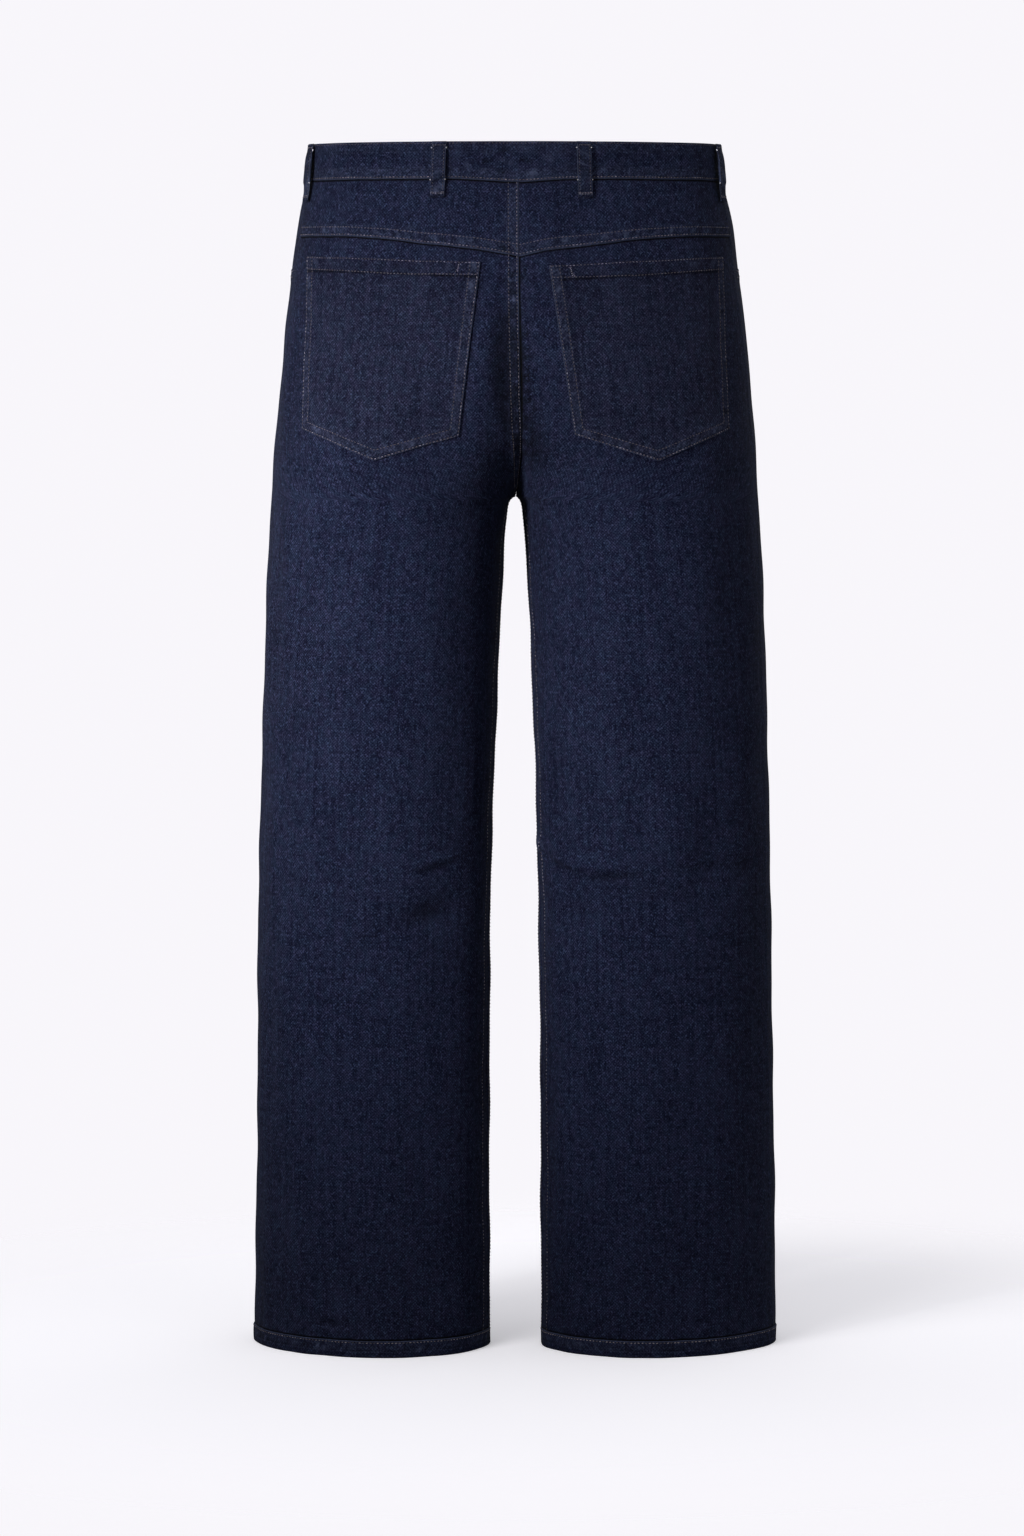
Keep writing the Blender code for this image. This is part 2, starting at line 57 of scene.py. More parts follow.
# Main sizes, the same as the solids'
HEIGHT = 1.0575
CROTCH_Z = 0.7497
HEM_HEIGHT = 0.0145
BAND_SEAM_Z = 1.0257
BAND_DIP = 0.0030
BAND_DIP_REACH = 0.035
YOKE_LEVEL_HALF = 0.193
BALANCE_Y = -0.0115
SEAM_GAP = 0.0003
PATCH_GAP = 0.0005
CLOTH = 0.0013
POCKET_CLOTH = 0.0013
PROUD = 0.0008
FOLDED_CLOTH = 0.0030
LOOP_CLOTH = 0.0020
LOOP_FOLD = 0.0010
LOOP_STANDOFF = 0.0034
SIDE_SEAM_HIP = math.radians(12.0)
SIDE_SEAM_LEG = math.radians(18.0)
SIDE_SEAM_HIP_Z = 0.88
SIDE_SEAM_LEG_Z = 0.60
SCOOP_TURN = math.radians(-47.0)
SCOOP_LOW_Z = 0.948
SCOOP_POWER = 2.6
FACING_END = math.radians(-57.0)
FLY_WIDTH = 0.036
FLY_EDGE = 0.0008
FLY_LOW_Z = 0.865
FLY_BEND_Z = 0.905
ZIP_HALF = 0.012
ZIP_LOW_Z = 0.901
ZIP_TAPE = 0.0010
LAP_LEFT_X = -0.004
LAP_RIGHT_X = 0.035
LAP_DIP = 0.0033
LAP_DIP_START = math.radians(256.0)
LAP_DIP_END = math.radians(267.0)
BUTTON_X = 0.014
BUTTON_Z = 1.0415
BUTTON_RADIUS = 0.0085
BLEND_Z = CROTCH_Z + 0.150

# Distances from a sewn edge: the two topstitch rows, and the width of the folded strip under them
STITCH_NEAR = 0.0013
STITCH_FAR = 0.0085
STRIP_WIDTH = 0.0100
INSEAM_ROW = 0.022
TURNING = 0.0010
SEWN_STEPS = (0.0, 0.0002, 0.0006, STITCH_NEAR, 0.0022, 0.0034, 0.0048, 0.0062, 0.0074, STITCH_FAR,
              0.0094, 0.0102, 0.0114, 0.0140)
PLAIN_STEPS = (0.0, 0.0002, 0.0006, 0.0014, 0.0030, 0.0050)
NEAR_LINE = SEWN_STEPS.index(STITCH_NEAR)
FAR_LINE = SEWN_STEPS.index(STITCH_FAR)

# Where seams change over: the turn past the end of the scoop, and half the height at the crotch
PAST_SCOOP = math.radians(-50.0)
CROTCH_JOIN = 0.004


class Section(NamedTuple):
    z: float
    outer: float
    front: float
    back: float
    power: float
    shift: float = 0.0
    lean: float = 0.0


# Height, half width, depth in front and behind, the power that makes a section boxy or lens-like, and how
# far it moves back as a whole and turns its inner end to the back
SECTIONS = (
    Section(0.0000, 0.2318, 0.084, 0.088, 1.08, 0.0075, 0.0105),
    Section(0.0800, 0.2308, 0.084, 0.086, 1.08, 0.0073, 0.0098),
    Section(0.1900, 0.2290, 0.085, 0.084, 1.08, 0.0068, 0.0085),
    Section(0.3300, 0.2274, 0.087, 0.083, 1.07, 0.0056, 0.0067),
    Section(0.4400, 0.2254, 0.090, 0.086, 1.05, 0.0044, 0.0050),
    Section(0.5450, 0.2232, 0.093, 0.094, 1.02, 0.0030, 0.0034),
    Section(0.6500, 0.2196, 0.098, 0.105, 1.00, 0.0015, 0.0016),
    Section(0.7200, 0.2161, 0.103, 0.115, 0.98, 0.0005, 0.0004),
    Section(0.7730, 0.2126, 0.108, 0.124, 0.96),
    Section(0.8130, 0.2096, 0.111, 0.131, 0.94),
    Section(0.8520, 0.2060, 0.112, 0.135, 0.92),
    Section(0.8920, 0.2020, 0.112, 0.134, 0.90),
    Section(0.9310, 0.1972, 0.110, 0.128, 0.89),
    Section(0.9570, 0.1943, 0.108, 0.122, 0.88),
    Section(0.9700, 0.1926, 0.106, 0.118, 0.88),
    Section(0.9835, 0.1906, 0.105, 0.114, 0.87),
    Section(0.9990, 0.1876, 0.103, 0.110, 0.87),
    Section(1.0100, 0.1852, 0.101, 0.107, 0.86),
    Section(1.0250, 0.1822, 0.099, 0.104, 0.86),
    Section(1.0400, 0.1806, 0.098, 0.102, 0.86),
    Section(1.0575, 0.1798, 0.098, 0.102, 0.86),
)

# How far each half has drawn together at the centre, against the height over the crotch
CLEFT_SHARES = (
    (0.000, 1.000), (0.010, 0.955), (0.020, 0.895), (0.030, 0.820), (0.045, 0.680),
    (0.060, 0.530), (0.086, 0.350), (0.110, 0.180), (0.150, 0.000),
)

# Distance of the inside leg from the centre, against the depth under the crotch
INSIDE_LEG = (
    (0.000, 0.0000), (0.0012, 0.0022), (0.0046, 0.0046), (0.0081, 0.0056), (0.0150, 0.0066),
    (0.0290, 0.0082), (0.0650, 0.0108), (0.1000, 0.0129), (0.1710, 0.0161), (0.2410, 0.0184),
    (0.3120, 0.0202), (0.4190, 0.0221), (0.5970, 0.0234), (0.7497, 0.0232),
)

# The same for the rest of the leg's section, eased near the crotch
EASED_INSIDE_LEG = ((0.000, 0.0000), (0.0150, 0.0062), *INSIDE_LEG[5:])

# Yoke seam height against the distance from the centre back
YOKE_SEAM = (
    (0.000, 0.9590), (0.026, 0.9637), (0.072, 0.9692), (0.120, 0.9748), (0.155, 0.9768), (0.193, 0.9774),
)

# How far the centre back seam wanders to the wearer's right, against the height
SEAM_WANDER = ((0.750, 0.0), (0.800, 0.0050), (0.850, 0.0044), (0.940, 0.0028), (1.0575, 0.0026))
WANDER_REACH = 0.024


class Crease(NamedTuple):
    side: int
    turn: float
    z: float
    reach: float
    width: float
    lean: float
    rise: float


# Creases: side, middle as turn and height, half reach, half width, lean from level and rise off the
# surface. They lie behind the knees, in front of them, below the front pockets and over the hems.
CREASES = (
    Crease(1, 121.0, 0.4275, 0.036, 0.0032, 9.5, -0.0032),
    Crease(1, 123.0, 0.4350, 0.040, 0.0065, 11.0, 0.0022),
    Crease(1, 118.0, 0.3895, 0.046, 0.0120, 15.0, -0.0034),
    Crease(1, 126.0, 0.4085, 0.042, 0.0080, 12.0, 0.0014),
    Crease(1, 88.0, 0.3660, 0.050, 0.0120, 19.0, -0.0015),
    Crease(1, 44.0, 0.4140, 0.036, 0.0130, -12.0, -0.0015),
    Crease(-1, 147.0, 0.4290, 0.042, 0.0034, 18.5, -0.0037),
    Crease(-1, 112.0, 0.4210, 0.048, 0.0034, -4.0, -0.0037),
    Crease(-1, 66.0, 0.4280, 0.066, 0.0042, -4.5, -0.0019),
    Crease(-1, 128.0, 0.4310, 0.066, 0.0070, 5.0, 0.0029),
    Crease(-1, 166.0, 0.4450, 0.022, 0.0070, 16.0, 0.0034),
    Crease(-1, 90.0, 0.4080, 0.080, 0.0120, 2.0, -0.0017),
    Crease(-1, 40.0, 0.4280, 0.034, 0.0100, -16.0, -0.0020),
    Crease(-1, 132.0, 0.3930, 0.040, 0.0110, -10.0, -0.0015),
    Crease(1, -62.0, 0.4040, 0.060, 0.0110, 9.0, -0.0032),
    Crease(1, -74.0, 0.4220, 0.052, 0.0080, 7.0, 0.0017),
    Crease(1, -130.0, 0.4300, 0.034, 0.0060, -16.0, -0.0024),
    Crease(-1, -110.0, 0.4180, 0.055, 0.0100, 12.0, -0.0031),
    Crease(-1, -70.0, 0.3980, 0.050, 0.0120, -6.0, -0.0019),
    Crease(1, -52.0, 0.8720, 0.056, 0.0070, -24.0, -0.0011),
    Crease(1, -60.0, 0.8540, 0.060, 0.0080, -17.0, -0.0009),
    Crease(1, -66.0, 0.8330, 0.050, 0.0080, -9.0, -0.0008),
    Crease(-1, -54.0, 0.8660, 0.058, 0.0070, -22.0, -0.0012),
    Crease(-1, -63.0, 0.8470, 0.056, 0.0080, -13.0, -0.0009),
    Crease(-1, -58.0, 0.8250, 0.046, 0.0090, -6.0, -0.0007),
    Crease(1, 70.0, 0.0280, 0.034, 0.0030, 2.0, -0.0021),
    Crease(1, 76.0, 0.0350, 0.036, 0.0050, -3.0, 0.0013),
    Crease(1, 112.0, 0.0300, 0.026, 0.0035, 4.0, -0.0014),
    Crease(-1, 118.0, 0.0290, 0.028, 0.0032, -3.0, -0.0015),
    Crease(-1, 108.0, 0.0370, 0.032, 0.0050, 4.0, 0.0012),
    Crease(-1, 72.0, 0.0300, 0.024, 0.0035, -5.0, -0.0013),
    Crease(1, 84.0, 0.0600, 0.050, 0.0100, 8.0, -0.0010),
    Crease(1, 60.0, 0.0820, 0.040, 0.0100, -10.0, 0.0009),
    Crease(-1, 100.0, 0.0640, 0.046, 0.0100, -7.0, -0.0009),
    Crease(1, -105.0, 0.0480, 0.050, 0.0090, 6.0, -0.0010),
    Crease(-1, -80.0, 0.0560, 0.044, 0.0100, -8.0, -0.0009),
)


class Hollow(NamedTuple):
    x: float
    z: float
    wide: float
    tall: float
    rise: float


# Soft hollows of the seat beside the centre back seam, and the fuller cloth of the inner left thigh
# under them: middle, half width, half height and rise
HOLLOWS = (
    Hollow(0.0060, 0.8640, 0.0170, 0.0520, -0.0064),
    Hollow(0.0080, 0.8080, 0.0170, 0.0300, -0.0030),
    Hollow(-0.0160, 0.7960, 0.0140, 0.0300, -0.0032),
    Hollow(0.1350, 0.7600, 0.0600, 0.0140, -0.0010),
    Hollow(0.0250, 0.7780, 0.0220, 0.0480, 0.0070),
    Hollow(0.0330, 0.6900, 0.0240, 0.0640, 0.0058),
)


class Wave(NamedTuple):
    x: float
    y: float
    z: float
    phase: float
    height: float


# Soft unevenness of hanging cloth: turns of each wave for a metre along each axis, and its height
WAVES = (
    Wave(13.0, 7.0, 0.9, 0.4, 0.00060),
    Wave(-21.0, 12.0, 2.1, 2.3, 0.00040),
    Wave(31.0, -17.0, 3.4, 4.1, 0.00022),
    Wave(5.0, 9.0, 9.0, 1.2, 0.00035),
    Wave(-9.0, 4.0, 17.0, 5.2, 0.00020),
)

# Heights and the row spacing from each up to the next
PANEL_BANDS = (
    (0.0288, 0.0030), (0.0600, 0.0052), (0.3640, 0.0025), (0.4620, 0.0052), (0.7000, 0.0030),
    (0.7380, 0.0010), (0.7640, 0.0025), (BLEND_Z, 0.0),
)


class Corner(NamedTuple):
    x: float
    z: float


class Pocket(NamedTuple):
    mouth_out: Corner
    mouth_in: Corner
    foot_in: Corner
    tip: Corner
    foot_out: Corner


# Back pocket outlines by side, as distances from the centre
POCKETS = {
    1: Pocket(
        mouth_out=Corner(0.1786, 0.9592),
        mouth_in=Corner(0.0302, 0.9531),
        foot_in=Corner(0.0486, 0.8058),
        tip=Corner(0.1212, 0.7837),
        foot_out=Corner(0.1833, 0.8101),
    ),
    -1: Pocket(
        mouth_out=Corner(0.1790, 0.9590),
        mouth_in=Corner(0.0280, 0.9500),
        foot_in=Corner(0.0511, 0.8065),
        tip=Corner(0.1233, 0.7832),
        foot_out=Corner(0.1844, 0.8100),
    ),
}
MOUTH_HEM = 0.0118


class Loop(NamedTuple):
    name: str
    left_turn: float
    right_turn: float
    width: float
    low_z: float


LOOPS = (
    Loop(name="belt_loop_back", left_turn=68.9, right_turn=71.0, width=0.0126, low_z=1.0085),
    Loop(name="belt_loop_side", left_turn=14.0, right_turn=14.0, width=0.0126, low_z=1.0070),
    Loop(name="belt_loop_front", left_turn=-58.0, right_turn=-58.0, width=0.0126, low_z=1.0085),
)

# Along a loop from top to bottom: share of its length, standoff share and fold share
LOOP_PROFILE = (
    (0.00, 0.0, 1.0), (0.10, 0.0, 1.0), (0.22, 0.75, 0.3), (0.36, 1.0, 0.0), (0.56, 1.0, 0.0),
    (0.72, 0.85, 0.0), (0.84, 0.30, 0.3), (0.91, 0.0, 1.0), (1.00, 0.0, 1.0),
)

# Waist button: radius and height of its turned outline, from the top's middle to the foot's
BUTTON_PROFILE = (
    (0.0, 0.00245), (0.0020, 0.00240), (0.0040, 0.00222), (0.0050, 0.00200), (0.0055, 0.00205),
    (0.0062, 0.00258), (0.0070, 0.00262), (0.0077, 0.00240), (0.0083, 0.00190),
    (BUTTON_RADIUS, 0.00150), (0.0082, 0.00105), (0.0070, 0.00085), (0.0045, 0.0008), (0.0045, 0.0),
    (0.0, 0.0),
)


class Curve:
    """A smooth curve through (position, value) rows that never overshoots them."""

    def __init__(self, rows):
        self.at, self.value = np.array([row[:2] for row in rows], float).T
        step = np.diff(self.at)
        rate = np.diff(self.value) / step
        before, after = rate[:-1], rate[1:]
        level = before * after <= 0.0
        total = np.where(level, 1.0, before + after)
        middle = np.where(level, 0.0, 2.0 * before * after / total)
        self.slope = np.concatenate((rate[:1], middle, rate[-1:]))

    def __call__(self, position):
        position = np.clip(position, self.at[0], self.at[-1])
        i = np.clip(np.searchsorted(self.at, position) - 1, 0, len(self.at) - 2)
        step = self.at[i + 1] - self.at[i]
        t = (position - self.at[i]) / step
        rise = self.value[i + 1] - self.value[i]
        start = self.slope[i] * step
        end = self.slope[i + 1] * step
        return self.value[i] + t * (start + t * (3 * rise - 2 * start - end + t * (start + end - 2 * rise)))


OUTER = Curve([(s.z, s.outer) for s in SECTIONS])
FRONT = Curve([(s.z, s.front) for s in SECTIONS])
BACK = Curve([(s.z, s.back) for s in SECTIONS])
POWER = Curve([(s.z, s.power) for s in SECTIONS])
SHIFT = Curve([(s.z, s.shift) for s in SECTIONS])
LEAN = Curve([(s.z, s.lean) for s in SECTIONS])
CLEFT = Curve(CLEFT_SHARES)
INSIDE = Curve(INSIDE_LEG)
EASED_INSIDE = Curve(EASED_INSIDE_LEG)
YOKE = Curve(YOKE_SEAM)
WANDER = Curve(SEAM_WANDER)


def smooth_step(start, end, position):
    """0 up to the start, 1 from the end on, and a soft rise between."""
    t = np.clip((position - start) / (end - start), 0.0, 1.0)
    return t * t * (3.0 - 2.0 * t)


def blend(a, b, share):
    """The value this share of the way from a to b."""
    return a + (b - a) * share


# Body surface

def leg_span(z, inside=INSIDE):
    """Middle and half width of one half's section at each height."""
    outer = OUTER(z)
    share = CLEFT(z - CROTCH_Z)
    inner = inside(CROTCH_Z - z)
    above = np.asarray(z) >= CROTCH_Z
    half = np.where(above, outer / (1.0 + share), (outer - inner) / 2.0)
    return np.where(above, share * half, (outer + inner) / 2.0), half


def body_point(side, turn, z):
    """The place on the plain body surface, with no cloth, crease or seam on it."""
    near = smooth_step(-0.55, -0.97, np.cos(turn))
    middle, half = (blend(calm, sharp, near) for calm, sharp in zip(leg_span(z, EASED_INSIDE), leg_span(z)))
    sine = np.sin(turn)
    behind = sine >= 0.0
    depth = np.where(behind, BACK(z), FRONT(z)) * np.abs(sine) ** POWER(z)
    y = BALANCE_Y + SHIFT(z) - LEAN(z) * np.cos(turn) + np.copysign(depth, sine)
    x = side * (middle + half * np.cos(turn))
    x = x - np.where(behind, WANDER(z) * np.exp(-((x / WANDER_REACH) ** 2)), 0.0)
    return np.stack(np.broadcast_arrays(x, y, z), axis=-1)


def unit(vectors):
    """The same directions with a length of 1."""
    return vectors / np.maximum(np.linalg.norm(vectors, axis=-1, keepdims=True), 1e-12)


def body_normal(side, turn, z):
    """The outward direction at a place."""
    step_turn = 0.004
    step_z = 0.001
    low = np.maximum(z - step_z, 0.0)
    high = np.minimum(z + step_z, HEIGHT)
    round_it = body_point(side, turn + step_turn, z) - body_point(side, turn - step_turn, z)
    up_it = body_point(side, turn, high) - body_point(side, turn, low)
    return side * unit(np.cross(round_it, up_it))


def crease_rise(side, turn, z):
    """How far the creases lift the cloth off the plain surface."""
    half = leg_span(z)[1]
    depth = bpy.context.scene.jeans_sizes.crease_depth
    rise = np.zeros(np.broadcast(turn, z).shape)
    for crease in CREASES:
        if crease.side != side:
            continue
        along = (turn - math.radians(crease.turn)) * half
        lean = math.radians(crease.lean)
        ahead = along * math.cos(lean) + (z - crease.z) * math.sin(lean)
        across = (z - crease.z) * math.cos(lean) - along * math.sin(lean)
        fade = np.cos(0.5 * math.pi * np.clip(ahead / crease.reach, -1.0, 1.0)) ** 2
        rise += depth * crease.rise * fade * np.exp(-((across / crease.width) ** 2))
    return rise


def wave_rise(points):
    """Soft unevenness that runs on from piece to piece."""
    rise = np.zeros(points.shape[:-1])
    for wave in WAVES:
        turns = points @ np.array((wave.x, wave.y, wave.z))
        rise += wave.height * np.sin(2.0 * math.pi * turns + wave.phase)
    return rise


def hollow_rise(points):
    """How far the hollows draw the back of the cloth in, and the fuller places lift it."""
    behind = smooth_step(0.0, 0.050, points[..., 1])
    rise = np.zeros(points.shape[:-1])
    for hollow in HOLLOWS:
        across = (points[..., 0] - hollow.x) / hollow.wide
        up = (points[..., 2] - hollow.z) / hollow.tall
        rise += hollow.rise * np.exp(-across ** 2 - up ** 2)
    return rise * behind


def turn_at(x, z):
    """Turn on the back of a half where it is this far from the centre."""
    middle, half = leg_span(z)
    return np.arccos(np.clip((x - middle) / half, -1.0, 1.0))


# Seam curves

def side_seam(z):
    """Turn of the side seam, further back on the leg than on the hip."""
    return blend(SIDE_SEAM_LEG, SIDE_SEAM_HIP, smooth_step(SIDE_SEAM_LEG_Z, SIDE_SEAM_HIP_Z, z))


def seam_back_off(turn, z):
    """Half the seam gap as a turn at this place."""
    step = 0.01
    reach = body_point(1, turn + step, z) - body_point(1, turn - step, z)
    return 0.5 * SEAM_GAP * 2.0 * step / np.linalg.norm(reach, axis=-1)


def inner_edge(z):
    """Turn of the centre seam over the crotch, or of the inside leg seam under it."""
    middle, half = leg_span(z)
    centre = np.arccos(np.maximum((0.5 * SEAM_GAP - middle) / half, -1.0))
    return np.minimum(centre, math.pi - seam_back_off(math.pi, z))


def yoke_seam(turn):
    """Height of the seam between yoke and back panel."""
    return YOKE(YOKE_LEVEL_HALF * np.maximum(np.cos(turn), 0.0))


def band_seam(turn):
    """Height of the seam under the waistband, lowest at the centre back."""
    x = float(OUTER(BAND_SEAM_Z)) * np.cos(turn)
    dip = np.where(np.sin(turn) > 0.0, BAND_DIP * np.exp(-((x / BAND_DIP_REACH) ** 2)), 0.0)
    return BAND_SEAM_Z - dip


def scoop(turn):
    """Height of the front panel's top edge, lowered where the pocket opening scoops it out."""
    share = np.clip((SIDE_SEAM_HIP - turn) / (SIDE_SEAM_HIP - SCOOP_TURN), 0.0, 1.0)
    return blend(SCOOP_LOW_Z, BAND_SEAM_Z, share ** SCOOP_POWER)


# Patches of cloth

def run_along(points):
    """Distance along each row of points from its first point."""
    step = np.linalg.norm(np.diff(points, axis=1), axis=2)
    return np.concatenate((np.zeros((len(points), 1)), np.cumsum(step, axis=1)), axis=1)


def steps_in(lengths, first, last, spacing):
    """Distances along lines of these lengths: fine ones in from both ends, even ones between."""
    lengths = np.atleast_1d(lengths).astype(float)[:, None]
    first = np.array(first)
    last = np.array(last)
    count = max(round(float(lengths.mean() - first[-1] - last[-1]) / spacing), 2)
    even = first[-1] + (lengths - first[-1] - last[-1]) * np.arange(1, count) / count
    return np.hstack((np.tile(first, (len(lengths), 1)), even, lengths - last[::-1]))


class Patch:
    """Rows and columns of places on the body, with the distance of each from the four edges."""

    def __init__(self, side, turns, heights, first, last, spacing):
        turns, heights = np.broadcast_arrays(turns, heights)
        rough = run_along(body_point(side, turns, heights))
        steps = steps_in(rough[:, -1], first, last, spacing)
        self.side = side
        self.turn = np.stack([np.interp(s, r, t) for s, r, t in zip(steps, rough, turns)])
        self.z = np.stack([np.interp(s, r, t) for s, r, t in zip(steps, rough, heights)])
        self.base = body_point(side, self.turn, self.z)
        self.out = body_normal(side, self.turn, self.z)
        self.first = steps
        self.last = rough[:, -1:] - steps
        climb = run_along(self.base.transpose(1, 0, 2)).T
        self.foot = climb
        self.head = climb[-1:] - climb
        self.lift = np.zeros(steps.shape)
        self.under = np.zeros(steps.shape)
        # The pucker mark moves no point; the finish reads it for rubbed tops, painted shade in troughs and
        # painted highlight on tops
        self.pucker = np.zeros(steps.shape)
        self.seam = np.zeros((*steps.shape, 3))
        self.seam[..., 0] = 0.05

    def cut(self):
        """Flat width, length and area of the cloth, from the plain surface without creases."""
        width = (self.first + self.last)[:, 0].max()
        length = (self.foot + self.head)[0].max()
        across = self.base[1:, 1:] - self.base[:-1, :-1]
        up = self.base[1:, :-1] - self.base[:-1, 1:]
        area = 0.5 * np.linalg.norm(np.cross(across, up), axis=2).sum()
        return (float(width), float(length)), min(float(area), float(width * length))

    def surface(self, drop=0.0):
        """Points of the cloth's outer face, or of a layer this far under it."""
        relief = crease_rise(self.side, self.turn, self.z) + wave_rise(self.base)
        out = self.out * (self.lift + relief - drop)[..., None]
        out[..., 1] += hollow_rise(self.base)
        level = (self.z <= 0.0) | (self.z >= HEIGHT)
        out[..., 2] = np.where(level, 0.0, out[..., 2])
        return self.base + out


FULL_RELIEF = 0.0042


# The finish paints shade from this where the cloth is drawn in and highlight where creases lift it
def drawn_in(patch):
    """How far creases and hollows draw the cloth in, below 0, or creases lift it, against the deepest."""
    hollows = np.minimum(hollow_rise(patch.base), 0.0)
    return (crease_rise(patch.side, patch.turn, patch.z) + hollows) / FULL_RELIEF


def wander(along, spacing, seed, reach=1.2):
    """Uneven rise and fall along a seam, from -1 to 1, the same each run."""
    knots = np.random.default_rng(seed).uniform(-1.0, 1.0, int(reach / spacing) + 4)
    place = along / spacing
    index = np.clip(np.floor(place).astype(int), 0, len(knots) - 2)
    t = np.clip(place - index, 0.0, 1.0)
    t = t * t * (3.0 - 2.0 * t)
    return knots[index] + (knots[index + 1] - knots[index]) * t


class Seam(NamedTuple):
    seed: int
    rise: float = 0.0008
    width: float = STRIP_WIDTH
    pucker: float = 0.00030
    spread: float = 0.0045
    wear: float = 1.0


def sew(patch, distance, along, seam):
    """Raises the folded strip along an edge and puckers it and the cloth beside it."""
    depth = bpy.context.scene.jeans_sizes.pucker_depth
    strip = 1.0 - smooth_step(seam.width - 0.0006, seam.width + 0.0012, distance)
    slant = along + 0.45 * distance
    rope = 0.65 * wander(slant, 0.0042, seam.seed) + 0.35 * wander(slant, 0.0021, seam.seed + 1)
    tug = wander(along - 0.3 * distance, 0.0063, seam.seed + 2)
    between = np.sin(np.clip(distance / seam.width, 0.0, 1.0) * math.pi) if seam.width > 0.0 else 0.0
    beside = np.exp(-np.maximum(distance - seam.width, 0.0) / seam.spread) * (1.0 - strip)
    shape = rope * between * strip + 0.55 * tug * beside
    patch.lift += seam.rise * strip + depth * seam.pucker * shape
    # The same shape goes to the pucker mark, from which the finish paints shade in troughs and highlight on
    # tops
    patch.pucker += shape
    nearer = distance < patch.seam[..., 0]
    values = np.stack((distance, along, np.full(distance.shape, seam.wear)), axis=-1)
    patch.seam = np.where(nearer[..., None], values, patch.seam)


def round_edge(distance, radius):
    """How far a rounded edge falls back from the face."""
    into = np.clip(radius - distance, 0.0, radius)
    return radius - np.sqrt(np.maximum(radius * radius - into * into, 0.0))


def soften(patch, edges, radius):
    """Rounds the named edges of both faces."""
    for edge in edges:
        fall = round_edge(getattr(patch, edge), radius)
        patch.lift -= fall
        patch.under += fall


def grid_faces(rows, columns, ring):
    """Four-sided faces of a grid, closed round where it is a ring, and the grid of its points."""
    index = np.arange(rows * columns).reshape(rows, columns)
    if ring:
        index = np.hstack((index, index[:, :1]))
    low = index[:-1]
    high = index[1:]
    return np.stack((low[:, :-1], low[:, 1:], high[:, 1:], high[:, :-1]), axis=-1).reshape(-1, 4), index


def turn_in(inner, patch, edges, low_only):
    """Lets the inner face run on past an edge, as a seam's turnings do, so that no light shows through."""
    ends = {"first": (np.s_[:, 0], np.s_[:, 1]), "last": (np.s_[:, -1], np.s_[:, -2]),
            "foot": (np.s_[0], np.s_[1]), "head": (np.s_[-1], np.s_[-2])}
    for edge in edges:
        rim, beside = ends[edge]
        share = (patch.z[rim] < CROTCH_Z)[:, None] if edge in low_only else 1.0
        inner[rim] += TURNING * unit(patch.base[rim] - patch.base[beside]) * share


def shell(name, patch, thick, inside=0.0, ring=False, turned=(), low_only=()):
    """A closed thin wall of cloth on a patch, with the marks that its finish reads."""
    outer = patch.surface()
    inner = patch.surface(thick - np.minimum(2.0 * patch.under, 0.8 * thick) + patch_relief(patch))
    turn_in(inner, patch, turned, low_only)
    rows, columns = patch.turn.shape
    faces, index = grid_faces(rows, columns, ring)
    count = rows * columns
    rims = [index[0], index[-1][::-1]]
    if not ring:
        rims += [index[:, -1], index[:, 0][::-1]]
    side_faces = [np.stack((rim[:-1], rim[:-1] + count, rim[1:] + count, rim[1:]), axis=-1) for rim in rims]
    every = np.vstack((faces, faces[:, ::-1] + count, *side_faces))
    middle = faces[len(faces) // 2]
    corners = outer.reshape(-1, 3)[middle]
    faced = np.cross(corners[1] - corners[0], corners[3] - corners[0])
    if faced @ patch.out.reshape(-1, 3)[middle[0]] < 0.0:
        every = every[:, ::-1]
    mesh = bpy.data.meshes.new(name)
    mesh.from_pydata(np.vstack((outer.reshape(-1, 3), inner.reshape(-1, 3))).tolist(), [], every.tolist())
    level_run = run_along(patch.base[..., :2])
    across = level_run - level_run[:, columns // 2:columns // 2 + 1]
    # The third value, puckers plus crease and hollow relief, sets painted shade where the cloth is drawn in
    # and painted highlight where it lifts
    place = np.stack((across, patch.z, patch.pucker + drawn_in(patch)), axis=-1)
    mark(mesh, "place", np.concatenate((place.reshape(-1, 3), place.reshape(-1, 3))))
    # The inner face carries no wear, so the finish paints a shadow line along its edges
    plain = patch.seam.reshape(-1, 3) * (1.0, 1.0, 0.0)
    mark(mesh, "seam", np.concatenate((patch.seam.reshape(-1, 3), plain)))
    wrong_side = np.full(patch.turn.shape, inside)
    wrong_side[[0, -1]] = 0.0
    if not ring:
        wrong_side[:, [0, -1]] = 0.0
    mark(mesh, "inside", np.concatenate((np.zeros(count), wrong_side.ravel())))
    return finish_piece(name, mesh)


def patch_relief(patch):
    """Most of the outer face's own relief, so that the inner face stays calm."""
    return 0.7 * (patch.lift - np.median(patch.lift)) + 0.7 * patch.under


def mark(mesh, name, values):
    """Stores a value or a vector for each point, for the finish to read."""
    values = np.asarray(values, np.float32)
    if values.ndim == 1:
        mesh.attributes.new(name, "FLOAT", "POINT").data.foreach_set("value", values)
    else:
        mesh.attributes.new(name, "FLOAT_VECTOR", "POINT").data.foreach_set("vector", values.ravel())


def finish_piece(name, mesh, sharp=60.0):
    """An object in the scene from this mesh, smooth but for its sharp edges."""
    mesh.validate()
    mesh.shade_smooth()
    mesh.set_sharp_from_angle(angle=math.radians(sharp))
    piece = bpy.data.objects.new(name, mesh)
    bpy.context.scene.collection.objects.link(piece)
    return piece


